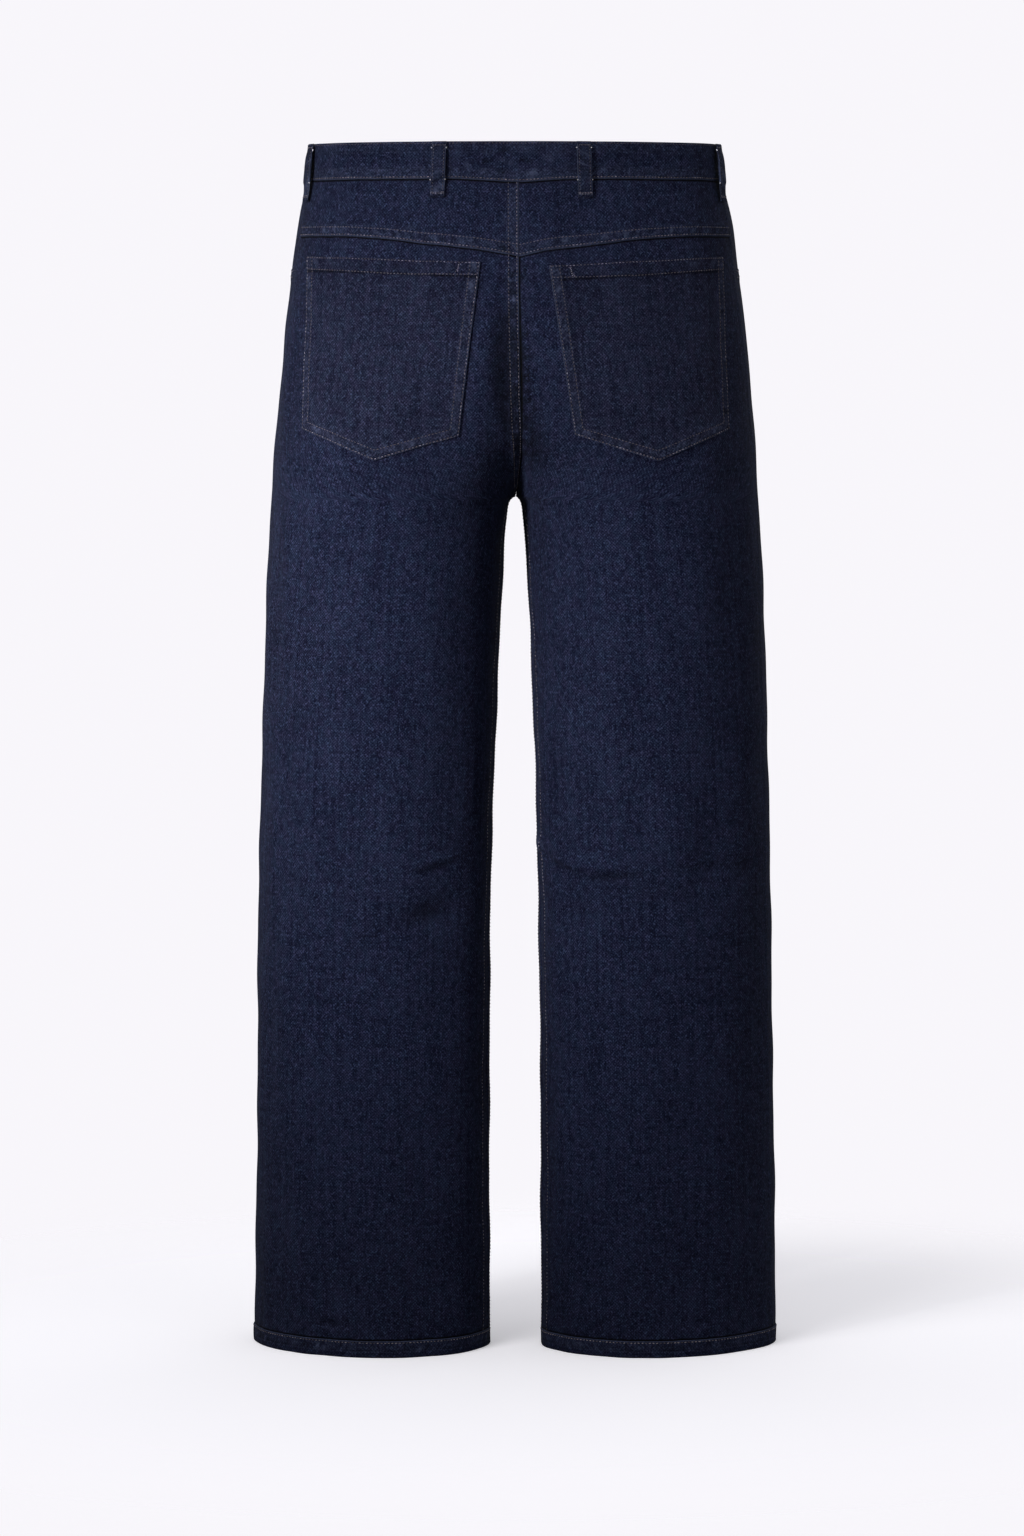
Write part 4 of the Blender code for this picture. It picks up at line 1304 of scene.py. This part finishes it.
def rumple(patch):
    """Small slanting wrinkles in the band, strongest at the centre back."""
    x = patch.base[..., 0]
    behind = np.sin(patch.turn) > 0.0
    share = np.where(behind, 0.28 + 0.95 * np.exp(-(((x - 0.002) / 0.034) ** 2)), 0.25)
    height = patch.foot / (patch.foot + patch.head)
    window = np.sin(np.clip(height, 0.0, 1.0) * math.pi) ** 0.8
    level = 0.7 * wander(patch.first * 0.55 + patch.foot * 1.3, 0.0060, 110, 1.6)
    slant = 0.7 * wander(patch.first * 0.9 - patch.foot * 1.1, 0.0085, 111, 2.2)
    fine = 0.35 * wander(patch.first + patch.foot * 0.4, 0.0045, 112, 2.2)
    patch.lift += 0.00095 * share * window * (level + slant + fine)
    # The wrinkles are marked in the puckers too, for rubbed tops, painted shade and painted highlight
    patch.pucker += 0.8 * share * window * (level + slant)


def hem(side):
    """The turned-up hem, one closed ring."""
    count = 300
    turns = np.linspace(-math.pi, math.pi, count + 1)
    from_foot = (0.0, 0.0003, 0.0008, 0.0014, 0.0024)
    from_head = (0.0, 0.0003, 0.0007, STITCH_NEAR, 0.0022)
    shares = steps_in([HEM_HEIGHT], from_foot, from_head, 0.0019)[0] / HEM_HEIGHT
    patch = Patch(side, turns, (HEM_HEIGHT * shares)[:, None], (0.0,), (0.0,), 0.0024)
    patch.lift += PROUD
    loop = patch.first / (patch.first + patch.last)
    closing = smooth_step(0.0, 0.01, loop) * smooth_step(1.0, 0.99, loop)
    before = patch.lift.copy()
    fold = Seam(seed=120 + side, rise=0.0, width=0.0120, pucker=0.00030, spread=0.0040, wear=0.8)
    sew(patch, patch.head, patch.first, fold)
    patch.lift = before + (patch.lift - before) * closing
    patch.pucker *= closing
    soften(patch, ("foot",), 0.0012)
    soften(patch, ("head",), 0.0006)
    keep_thread("hems", patch, row_cells(patch, -4), 122 + side, pitch=0.0032, girth=0.9, tone=1.4)
    drop_last_column(patch)
    rests_on = [side_name("cloth_back_panel", side)]
    return cloth("hem", side, patch, FOLDED_CLOTH, "folded", rests_on, ring=True, turned=("head",))


def drop_last_column(patch):
    """Leaves out the column that meets the first one on a closed ring."""
    for key in (*EDGES, "turn", "z", "base", "out", "lift", "under", "pucker", "seam"):
        setattr(patch, key, getattr(patch, key)[:, :-1])


def back_pocket(side):
    """A five-sided patch pocket with a hemmed mouth and a bar tack at its inner corner."""
    height = 0.162
    mouth_steps = (0.0, 0.0002, 0.0006, 0.0012, 0.0022, 0.0040, 0.0070, 0.0100, MOUTH_HEM,
                   0.0132, 0.0144, 0.0160)
    shares = steps_in([height], SEWN_STEPS, mouth_steps, 0.0022)[0] / height
    share = np.linspace(0.0, 1.0, 240)
    outer = np.clip(share / 0.5, 0.0, 1.0)
    inner = np.clip((share - 0.5) / 0.5, 0.0, 1.0)
    x, z = (
        blend(
            np.where(share <= 0.5, blend(foot_out, tip, outer), blend(tip, foot_in, inner)),
            blend(mouth_out, mouth_in, share),
            shares[:, None],
        )
        for mouth_out, mouth_in, foot_in, tip, foot_out in zip(*POCKETS[side])
    )
    patch = Patch(side, turn_at(x, z), z, SEWN_STEPS, SEWN_STEPS, 0.0021)
    flat = PATCH_GAP + POCKET_CLOTH
    patch.lift += flat
    mouth = smooth_step(MOUTH_HEM + 0.0016, MOUTH_HEM - 0.0002, patch.head)
    edge = np.minimum(np.minimum(patch.first, patch.last), patch.foot)
    flap = np.where(edge == patch.foot, patch.first, patch.head)
    sew(patch, edge, flap, Seam(seed=130 + side, rise=0.0007, pucker=0.00075, wear=0.75))
    over_mouth = flat + 0.0010 * mouth + 0.35 * (patch.lift - flat)
    patch.lift = np.maximum(patch.lift, over_mouth)
    mouth_wave = wander(patch.first + 0.3 * patch.head, 0.0055, 133 + side)
    across_hem = np.sin(np.clip(patch.head / MOUTH_HEM, 0.0, 1.0) * math.pi)
    patch.lift += 0.00050 * mouth_wave * across_hem
    patch.pucker += 0.5 * mouth_wave * across_hem
    # A painted shadow line just under the mouth hem, marked in the puckers only
    patch.pucker -= 1.1 * np.exp(-(((patch.head - MOUTH_HEM - 0.0012) / 0.0011) ** 2))
    soften(patch, EDGES, 0.0007)
    rows, columns = patch.turn.shape
    for line, seed, tone in ((NEAR_LINE, 140, 1.0), (FAR_LINE, 142, 0.42)):
        cells = column_cells(patch, line, line + 1, rows)[::-1]
        cells += row_cells(patch, line, line, columns - line)
        cells += column_cells(patch, columns - 1 - line, line + 1, rows)
        keep_thread("back_pockets", patch, cells, seed + side, tone=tone)
    for row, seed, girth, tone in ((rows - 9, 146, 1.0, 0.55), (rows - 4, 148, 0.8, 1.0)):
        cells = row_cells(patch, row, NEAR_LINE, columns - NEAR_LINE)
        keep_thread("back_pockets", patch, cells, seed + side, girth=girth, tone=tone)
    tack = [row for row in range(rows) if 0.0016 < patch.head[row, -1] < 0.0110]
    for shift, seed in ((0.0165, 152), (0.0174, 154)):
        slant = [np.abs(patch.last[row] - shift - 0.3 * patch.head[row, -1]) for row in tack]
        cells = [(row, int(np.argmin(off))) for row, off in zip(tack, slant)]
        keep_thread("bar_tacks", patch, cells, seed + side, pitch=0.0015, girth=0.9, tone=1.2)
    rests_on = [side_name("cloth_back_panel", side)]
    return cloth("back_pocket", side, patch, POCKET_CLOTH, "laid", rests_on,
                 finish="indigo_pocket_denim", slot="pocket_denim", inside=1.0)


LOOP_ROWS = 46


def eased(at, values):
    """A loop's profile at each row, with its bends rounded."""
    soft = np.exp(-0.5 * (np.arange(-6, 7) / 2.2) ** 2)
    soft /= soft.sum()
    plain = np.interp(np.linspace(-0.14, 1.14, LOOP_ROWS + 12), at, values)
    return np.convolve(plain, soft, mode="valid")


def belt_loop(loop, side):
    """One loop, sewn flat at its top and foot and standing off the band between."""
    middle = math.radians(loop.left_turn if side > 0 else loop.right_turn)
    step = 0.01
    chord = body_point(1, middle + step, BAND_SEAM_Z) - body_point(1, middle - step, BAND_SEAM_Z)
    reach = np.linalg.norm(chord) / (2.0 * step)
    spread = 0.5 * loop.width / reach
    length = HEIGHT - loop.low_z
    share = np.linspace(0.0, 1.0, LOOP_ROWS)
    at, stand, fold = np.array(LOOP_PROFILE).T
    stand = eased(at, stand)
    fold = eased(at, fold)
    band_share = (HEIGHT - BAND_SEAM_Z) / length
    under = PROUD * (1.0 - smooth_step(band_share + 0.02, band_share + 0.12, share))
    turns = blend(middle - spread, middle + spread, np.linspace(0.0, 1.0, 30))
    across = (0.0, 0.0002, 0.0006, STITCH_NEAR + 0.0004, 0.0030)
    patch = Patch(side, turns, (HEIGHT - length * share)[:, None], across, across, 0.0012)
    inner = under + PATCH_GAP + stand * LOOP_STANDOFF
    thick = LOOP_CLOTH + fold * LOOP_FOLD
    seed = 160 + int(loop.left_turn) + side
    edge = np.minimum(patch.first, patch.last)
    wobble = wander(patch.foot + 0.5 * patch.first, 0.0034, seed)
    patch.lift = (inner + thick)[:, None] + 0.00018 * wobble * np.clip(edge / 0.002, 0.0, 1.0)
    patch.seam = np.stack((edge, patch.foot, np.full(edge.shape, 0.8)), axis=-1)
    patch.pucker = 0.8 * wobble
    soften(patch, EDGES, 0.0008)
    for column, own in ((3, 300), (-4, 301)):
        cells = column_cells(patch, column, 3, 43)
        keep_thread("belt_loops", patch, cells, seed + own, pitch=0.0026, girth=0.7, tone=0.6)
    for row, own in ((3, 402), (-4, 403), (-5, 404)):
        keep_thread("bar_tacks", patch, row_cells(patch, row, 1, -1), seed + own, pitch=0.0013, tone=1.3)
    for row in (4, 30):
        for column, own in ((0, 505), (-1, 506)):
            cells = column_cells(patch, column, row, row + 3)
            keep_thread("thread_ends", patch, cells, seed + own + row, pitch=0.0021, girth=2.1, tone=4.0)
    return cloth(loop.name, side, patch, float(thick.mean()), "folded", ["cloth_waistband"],
                 finish="indigo_loop_denim")


def fly_lap():
    """The lap on the wearer's left of the centre front, rounded in at its foot."""
    top = BAND_SEAM_Z - 0.5 * SEAM_GAP
    from_foot = (0.0, 0.0002, 0.0006, 0.0013, 0.0024, 0.0040, 0.0062)
    rise = steps_in([top - FLY_LOW_Z], from_foot, PLAIN_STEPS, 0.0022)[0]
    heights = FLY_LOW_Z + rise
    bend = np.clip((FLY_BEND_Z - heights) / (FLY_BEND_Z - FLY_LOW_Z), 0.0, 1.0)
    width = np.where(bend <= 0.0, FLY_WIDTH, blend(0.004, FLY_WIDTH, np.sqrt(1.0 - bend * bend)))
    share = np.linspace(0.0, 1.0, 80)[None]
    x = blend(FLY_EDGE, FLY_EDGE + width[:, None], share)
    z = heights[:, None]
    steps = (0.0, 0.0002, 0.0006, 0.0012)
    patch = Patch(1, -turn_at(x, z), z, steps, steps, 0.0018)
    patch.lift += PATCH_GAP + POCKET_CLOTH
    wobble = wander(patch.foot + 0.4 * patch.first, 0.0048, 180)
    patch.lift += 0.00022 * wobble
    patch.pucker += 0.8 * wobble
    patch.seam = np.stack((patch.last, patch.foot, np.full(patch.last.shape, 0.7)), axis=-1)
    soften(patch, EDGES, 0.0006)
    rows, columns = patch.turn.shape
    for inset, seed in ((3, 181), (8, 182)):
        cells = column_cells(patch, columns - 1 - inset, inset, rows)[::-1]
        cells += row_cells(patch, inset, 2, columns - 1 - inset)[::-1]
        keep_thread("fly", patch, cells, seed)
    return cloth("fly_lap", 0, patch, POCKET_CLOTH, "laid", ["cloth_front_panel_left"], inside=1.0)


def fly_zip():
    """The closed zip's tape behind the centre front, with its two rows of teeth."""
    top = BAND_SEAM_Z - 0.003
    heights = np.linspace(ZIP_LOW_Z, top, 50)
    share = np.linspace(0.0, 1.0, 40)[None]
    x = blend(-ZIP_HALF, ZIP_HALF, share)
    z = heights[:, None]
    patch = Patch(1, -turn_at(x, z), z, PLAIN_STEPS[:4], PLAIN_STEPS[:4], 0.0016)
    patch.lift += -CLOTH - 0.0003 - PATCH_GAP
    soften(patch, ("first", "last"), 0.0003)
    tape = shell("woven_zip_tape", patch, ZIP_TAPE)
    dress(tape, finish_named("woven_zip_tape"), ["fly_zip"], patch)
    middle = patch.turn.shape[1] // 2
    return zip_teeth(patch.surface(ZIP_TAPE)[1:-1, middle], patch.out[1:-1, middle])


# A tooth's rings, from the tape inward: depth, half width and half height, and the corners of each
TOOTH_RINGS = ((0.0, 0.0019, 0.00058), (0.0009, 0.0017, 0.00045), (0.0013, 0.0012, 0.00030))
TOOTH_CORNERS = ((-1, -1), (1, -1), (1, 1), (-1, 1))
TOOTH_PITCH = 0.00135


def zip_teeth(path, out):
    """Two rows of teeth that meet in turn along the path."""
    run = run_along(path[None])[0]
    points = []
    faces = []
    for k, at in enumerate(np.arange(0.001, run[-1], TOOTH_PITCH)):
        place = along_path(at, run, path)
        inward = -along_path(at, run, out)
        up = np.array((0.0, 0.0, 1.0))
        across = np.cross(up, inward)
        across /= np.linalg.norm(across)
        lean = 1.0 if k % 2 else -1.0
        first = len(points)
        for depth, wide, tall in TOOTH_RINGS:
            for a, b in TOOTH_CORNERS:
                points.append(place + inward * depth + across * (0.0007 * lean + a * wide) + up * (b * tall))
        for ring in (first, first + 4):
            for j in range(4):
                n = (j + 1) % 4
                faces.append((ring + j, ring + n, ring + 4 + n, ring + 4 + j))
        faces.append((first + 8, first + 9, first + 10, first + 11))
        faces.append((first + 3, first + 2, first + 1, first))
    mesh = bpy.data.meshes.new("zip_teeth")
    mesh.from_pydata([tuple(point) for point in points], [], faces)
    return dress(finish_piece("zip_teeth", mesh, 40.0), finish_named("aged_brass"))


def lap_frame():
    """Middle, outward, sideways and upward directions at the waist button."""
    turn = -math.acos(BUTTON_X / float(OUTER(BUTTON_Z)))
    out = body_normal(1, turn, BUTTON_Z)
    up = np.array((0.0, 0.0, 1.0))
    across = unit(np.cross(up, out))
    return body_point(1, turn, BUTTON_Z) + out * PROUD, out, across, unit(np.cross(out, across))


def waist_button():
    """A domed button with a rolled rim, turned about its own axis and set on the lap."""
    place, out = lap_frame()[:2]
    mesh = bpy.data.meshes.new("brass_waist_button")
    edges = [(i, i + 1) for i in range(len(BUTTON_PROFILE) - 1)]
    mesh.from_pydata([(radius, 0.0, height) for radius, height in BUTTON_PROFILE], edges, [])
    button = bpy.data.objects.new("brass_waist_button", mesh)
    bpy.context.scene.collection.objects.link(button)
    button.location = Vector(place + out * 0.0006)
    button.rotation_mode = "QUATERNION"
    button.rotation_quaternion = Vector(out).to_track_quat("Z", "Y")
    screw = button.modifiers.new("turn", "SCREW")
    screw.axis = "Z"
    screw.steps = 48
    screw.render_steps = 48
    screw.use_merge_vertices = True
    screw.merge_threshold = 0.00001
    screw.use_normal_calculate = True
    screw.use_smooth_shade = True
    return dress(button, finish_named("aged_brass"), ["waist_button"])


def buttonhole():
    """A ring of close stitches round the buttonhole, just outside the button's rim."""
    place, out, across, up = lap_frame()
    angles = np.linspace(0.0, 2.0 * math.pi, 90)
    long_half = 0.0125
    short_half = 0.0024
    shift = -0.0035
    x = shift + long_half * np.sign(np.cos(angles)) * np.abs(np.cos(angles)) ** 0.7
    y = short_half * np.sign(np.sin(angles)) * np.abs(np.sin(angles)) ** 0.7
    bow = -0.5 * (x / 0.11) ** 2 * 0.11
    path = place + across * x[:, None] + up * y[:, None] + out * (bow + 0.0002)[:, None]
    STITCHES.setdefault("buttonhole", []).append(Thread(path, np.tile(out, (90, 1)), 190, 0.0011, 1.25))


# What sizes and colours a user may change

class JeansSizes(bpy.types.PropertyGroup):
    """Sizes of the cloth's relief and its threads"""

    cloth_grid: FloatProperty(
        name="Cloth grid", description="Spacing of the leg panels' columns",
        default=0.0046, min=0.002, unit="LENGTH")
    crease_depth: FloatProperty(
        name="Crease depth", description="How deep the creases are, against their own sizes",
        default=1.0, min=0.0)
    pucker_depth: FloatProperty(
        name="Pucker depth", description="How deep the seams pucker, against their own sizes",
        default=1.0, min=0.0)
    thread_radius: FloatProperty(
        name="Thread radius", description="Half the thickness of the topstitch thread",
        default=0.00037, min=0.0001, unit="LENGTH")


class JeansColours(bpy.types.PropertyGroup):
    """Colours of the cloth, the threads and the metal"""

    deep: FloatVectorProperty(
        name="Deep indigo", description="Darkest cloth", subtype="COLOR", default=(0.0013, 0.0017, 0.0084))
    speck: FloatVectorProperty(
        name="Pale indigo", description="Palest flecks of the cloth",
        subtype="COLOR", default=(0.0288, 0.0360, 0.0770))
    worn: FloatVectorProperty(
        name="Rubbed cloth", description="Seams where the dye has rubbed off",
        subtype="COLOR", default=(0.0400, 0.0480, 0.0840))
    inside: FloatVectorProperty(
        name="Wrong side", description="Paler inside of the cloth",
        subtype="COLOR", default=(0.0420, 0.0470, 0.0660))
    pocket_deep: FloatVectorProperty(
        name="Pocket deep", description="Darkest pocket cloth",
        subtype="COLOR", default=(0.0016, 0.0019, 0.0082))
    pocket_speck: FloatVectorProperty(
        name="Pocket pale", description="Palest flecks of the pocket",
        subtype="COLOR", default=(0.0304, 0.0354, 0.0700))
    thread_dark: FloatVectorProperty(
        name="Thread, dark", description="Brown in the topstitch thread",
        subtype="COLOR", default=(0.0400, 0.0290, 0.0330))
    thread_pale: FloatVectorProperty(
        name="Thread, pale", description="Grey mauve of the topstitch thread",
        subtype="COLOR", default=(0.2000, 0.1820, 0.2300))
    thread_middle: FloatVectorProperty(
        name="Hem thread, dark", description="Beige of the band and hem thread",
        subtype="COLOR", default=(0.0520, 0.0400, 0.0420))
    thread_bright: FloatVectorProperty(
        name="Hem thread, pale", description="Pale grey of the band and hem thread",
        subtype="COLOR", default=(0.2500, 0.2150, 0.2350))
    thread_ends: FloatVectorProperty(
        name="Thread ends", description="White ends of thread at the loops",
        subtype="COLOR", default=(0.6200, 0.6000, 0.6600))
    metal: FloatVectorProperty(
        name="Brass", description="Waist button and zip teeth",
        subtype="COLOR", default=(0.3600, 0.2500, 0.1400))


class JeansStage(bpy.types.PropertyGroup):
    """The floor, the lights and the camera"""

    floor_radius: FloatProperty(
        name="Floor radius", description="How far the pale floor reaches", default=5.0, unit="LENGTH")
    key_power: FloatProperty(
        name="Key light", description="Power of the soft light on the seat", default=2.88, unit="POWER")
    top_power: FloatProperty(
        name="Top light", description="Power of the high light that casts shadows",
        default=98.0, unit="POWER")
    fill_power: FloatProperty(
        name="Fill light", description="Power of the weak light in front", default=3.5, unit="POWER")
    side_power: FloatProperty(
        name="Side light", description="Power of the weak light on the shaded sides",
        default=4.0, unit="POWER")
    sky: FloatProperty(
        name="Surround", description="Strength of the soft light from all round", default=0.54)
    lens: FloatProperty(name="Lens", description="Focal length in millimetres", default=133.24)


# Operators

class JeansOperator:
    """What all the operators share"""

    bl_options = {"REGISTER", "UNDO"}


def on_both_sides(*makers):
    """Makes each of these pieces on the left and then on the right."""
    for side in (1, -1):
        for make in makers:
            make(side)
    return {"FINISHED"}


class JEANS_OT_panels(JeansOperator, bpy.types.Operator):
    """Makes the two back and the two front leg panels"""

    bl_idname = "jeans.panels"
    bl_label = "Leg panels"

    def execute(self, context):
        return on_both_sides(back_panel, front_panel)


class JEANS_OT_facings(JeansOperator, bpy.types.Operator):
    """Makes the facings behind the front pocket openings"""

    bl_idname = "jeans.facings"
    bl_label = "Pocket facings"

    def execute(self, context):
        return on_both_sides(pocket_facing)


class JEANS_OT_yokes(JeansOperator, bpy.types.Operator):
    """Makes the two halves of the back yoke"""

    bl_idname = "jeans.yokes"
    bl_label = "Back yokes"

    def execute(self, context):
        return on_both_sides(yoke)


class JEANS_OT_waistband(JeansOperator, bpy.types.Operator):
    """Makes the folded waistband"""

    bl_idname = "jeans.waistband"
    bl_label = "Waistband"

    def execute(self, context):
        waistband()
        return {"FINISHED"}


class JEANS_OT_hems(JeansOperator, bpy.types.Operator):
    """Makes the turned-up hems"""

    bl_idname = "jeans.hems"
    bl_label = "Hems"

    def execute(self, context):
        return on_both_sides(hem)


class JEANS_OT_back_pockets(JeansOperator, bpy.types.Operator):
    """Makes the patch pockets on the seat"""

    bl_idname = "jeans.back_pockets"
    bl_label = "Back pockets"

    def execute(self, context):
        return on_both_sides(back_pocket)


class JEANS_OT_belt_loops(JeansOperator, bpy.types.Operator):
    """Makes the six belt loops"""

    bl_idname = "jeans.belt_loops"
    bl_label = "Belt loops"

    def execute(self, context):
        for side in (1, -1):
            for loop in LOOPS:
                belt_loop(loop, side)
        return {"FINISHED"}


class JEANS_OT_fly(JeansOperator, bpy.types.Operator):
    """Makes the fly lap, the zip and the waist button with its buttonhole"""

    bl_idname = "jeans.fly"
    bl_label = "Fly and button"

    def execute(self, context):
        fly_lap()
        fly_zip()
        waist_button()
        buttonhole()
        return {"FINISHED"}


class JEANS_OT_threads(JeansOperator, bpy.types.Operator):
    """Sews every noted row of stitches"""

    bl_idname = "jeans.threads"
    bl_label = "Threads"

    def execute(self, context):
        radius = context.scene.jeans_sizes.thread_radius
        finishes = {"waistband": "pale_thread", "hems": "pale_thread", "thread_ends": "white_thread"}
        for group in sorted(STITCHES):
            piece = sew_threads("thread_" + group, STITCHES[group], radius)
            dress(piece, finish_named(finishes.get(group, "topstitch_thread")))
        STITCHES.clear()
        return {"FINISHED"}


class JEANS_OT_stage(JeansOperator, bpy.types.Operator):
    """Sets the pale floor, the soft light and the camera"""

    bl_idname = "jeans.stage"
    bl_label = "Stage"

    def execute(self, context):
        scene = context.scene
        scene.view_settings.view_transform = "Standard"
        make_floor(scene)
        make_surround(scene)
        make_lights(scene)
        make_camera(scene)
        return {"FINISHED"}


# Stage

# Floor and surround: their colours on the cloth and to the camera, and where the floor clears away
FLOOR_LIT = (0.25, 0.25, 0.26, 1.0)
FLOOR_SEEN = (0.95, 0.932, 0.962, 1.0)
FLOOR_GLOW = (0.955, 0.945, 0.985, 1.0)
GLOW_POWER = 0.29
CLEAR_START = 0.42
CLEAR_END = 0.95
SKY_LIT = (0.96, 0.97, 1.0, 1.0)
SKY_SEEN = (0.940, 0.923, 0.963, 1.0)


def make_floor(scene):
    """A pale disc whose far part clears away into the surround."""
    radius = scene.jeans_stage.floor_radius
    mesh = bpy.data.meshes.new("pale_floor")
    count = 96
    angles = [2.0 * math.pi * k / count for k in range(count)]
    rim = [(radius * math.cos(angle), radius * math.sin(angle), 0.0) for angle in angles]
    mesh.from_pydata(rim, [], [list(range(count))])
    floor = bpy.data.objects.new("pale_floor", mesh)
    scene.collection.objects.link(floor)
    f = Finish("pale_floor")
    position = f.add("ShaderNodeTexCoord").outputs["Object"]
    far = f.add("ShaderNodeVectorMath", (position,), operation="LENGTH").outputs["Value"]
    camera_ray = f.add("ShaderNodeLightPath").outputs["Is Camera Ray"]
    clear = f.times(f.between(far, CLEAR_START, CLEAR_END), camera_ray)
    tone = f.mix(camera_ray, FLOOR_LIT, FLOOR_SEEN)
    f.set(Base_Color=tone, Roughness=1.0, Specular_IOR_Level=0.0)
    glow = f.add("ShaderNodeEmission")
    glow.inputs["Color"].default_value = FLOOR_GLOW
    f.feed(glow.inputs["Strength"], f.times(camera_ray, GLOW_POWER))
    both = f.add("ShaderNodeAddShader", (f.shader.outputs[0], glow.outputs[0]))
    through = f.add("ShaderNodeBsdfTransparent")
    fade = f.add("ShaderNodeMixShader", (clear, both.outputs[0], through.outputs[0]))
    f.tree.links.new(fade.outputs[0], f.tree.nodes["Material Output"].inputs["Surface"])
    mesh.materials.append(f.material)


def make_surround(scene):
    """Near white where the camera sees it, and a weaker soft light on the cloth."""
    world = bpy.data.worlds.new("white_surround")
    scene.world = world
    world.use_nodes = True
    tree = world.node_tree
    tree.nodes.clear()
    path = tree.nodes.new("ShaderNodeLightPath")
    seen = tree.nodes.new("ShaderNodeBackground")
    seen.inputs["Color"].default_value = SKY_SEEN
    light = tree.nodes.new("ShaderNodeBackground")
    light.inputs["Color"].default_value = SKY_LIT
    light.inputs["Strength"].default_value = scene.jeans_stage.sky
    mix = tree.nodes.new("ShaderNodeMixShader")
    out = tree.nodes.new("ShaderNodeOutputWorld")
    tree.links.new(path.outputs["Is Camera Ray"], mix.inputs[0])
    tree.links.new(light.outputs[0], mix.inputs[1])
    tree.links.new(seen.outputs[0], mix.inputs[2])
    tree.links.new(mix.outputs[0], out.inputs["Surface"])


def soft_light(scene, name, place, target, size, power, spread=180.0):
    """A square lamp that faces its target."""
    lamp = bpy.data.lights.new(name, "AREA")
    lamp.shape = "SQUARE"
    lamp.size = size
    lamp.energy = power
    lamp.spread = math.radians(spread)
    holder = bpy.data.objects.new(name, lamp)
    holder.location = place
    holder.rotation_euler = (Vector(target) - Vector(place)).to_track_quat("-Z", "Y").to_euler()
    scene.collection.objects.link(holder)


def make_lights(scene):
    """A low key light from the wearer's left, a high one for the shadows and two weak ones."""
    stage = scene.jeans_stage
    soft_light(scene, "key_light", (1.9, 2.42, 1.15), (0.25, 0.1, 0.71), 0.45, stage.key_power, 24.0)
    soft_light(scene, "top_light", (1.9, 2.5, 6.0), (0.0, -0.1, 0.0), 1.8, stage.top_power)
    soft_light(scene, "side_light", (-1.8, 3.0, 1.1), (0.0, 0.0, 0.65), 1.4, stage.side_power)
    soft_light(scene, "fill_light", (-1.6, -2.4, 1.6), (0.0, 0.0, 0.6), 1.6, stage.fill_power)


# Where the camera stands, how it tilts down and its upright sensor in millimetres
CAMERA_PLACE = (0.0028, 5.0, 0.878)
CAMERA_TILT = math.radians(85.8)
SENSOR = (24.0, 36.0)


def make_camera(scene):
    """Behind the jeans, looking slightly down on them."""
    camera = bpy.data.cameras.new("camera")
    camera.sensor_fit = "VERTICAL"
    camera.sensor_width, camera.sensor_height = SENSOR
    camera.lens = scene.jeans_stage.lens
    holder = bpy.data.objects.new("camera", camera)
    holder.location = CAMERA_PLACE
    holder.rotation_euler = (CAMERA_TILT, 0.0, math.pi)
    scene.collection.objects.link(holder)
    scene.camera = holder


# Sidebar

class JEANS_PT_sidebar(bpy.types.Panel):
    bl_label = "Wide-leg jeans"
    bl_idname = "JEANS_PT_sidebar"
    bl_space_type = "VIEW_3D"
    bl_region_type = "UI"
    bl_category = "Jeans"

    def draw(self, context):
        layout = self.layout
        for group in (context.scene.jeans_sizes, context.scene.jeans_colours, context.scene.jeans_stage):
            box = layout.box()
            for key in group.__annotations__:
                box.prop(group, key)
        for operator in OPERATORS:
            layout.operator(operator.bl_idname)


OPERATORS = (
    JEANS_OT_panels, JEANS_OT_facings, JEANS_OT_yokes, JEANS_OT_waistband, JEANS_OT_hems,
    JEANS_OT_back_pockets, JEANS_OT_belt_loops, JEANS_OT_fly, JEANS_OT_threads, JEANS_OT_stage,
)
GROUPS = {"jeans_sizes": JeansSizes, "jeans_colours": JeansColours, "jeans_stage": JeansStage}


def register():
    """Makes the groups, operators and sidebar known to Blender."""
    for name, group in GROUPS.items():
        bpy.utils.register_class(group)
        setattr(bpy.types.Scene, name, PointerProperty(type=group))
    for operator in OPERATORS:
        bpy.utils.register_class(operator)
    bpy.utils.register_class(JEANS_PT_sidebar)


def unregister():
    """Takes them away again."""
    bpy.utils.unregister_class(JEANS_PT_sidebar)
    for operator in reversed(OPERATORS):
        bpy.utils.unregister_class(operator)
    for name, group in GROUPS.items():
        delattr(bpy.types.Scene, name)
        bpy.utils.unregister_class(group)


def main():
    """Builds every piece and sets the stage."""
    register()
    bpy.ops.jeans.panels()
    bpy.ops.jeans.facings()
    bpy.ops.jeans.yokes()
    bpy.ops.jeans.waistband()
    bpy.ops.jeans.hems()
    bpy.ops.jeans.back_pockets()
    bpy.ops.jeans.belt_loops()
    bpy.ops.jeans.fly()
    bpy.ops.jeans.threads()
    bpy.ops.jeans.stage()


if __name__ == "__main__":
    main()
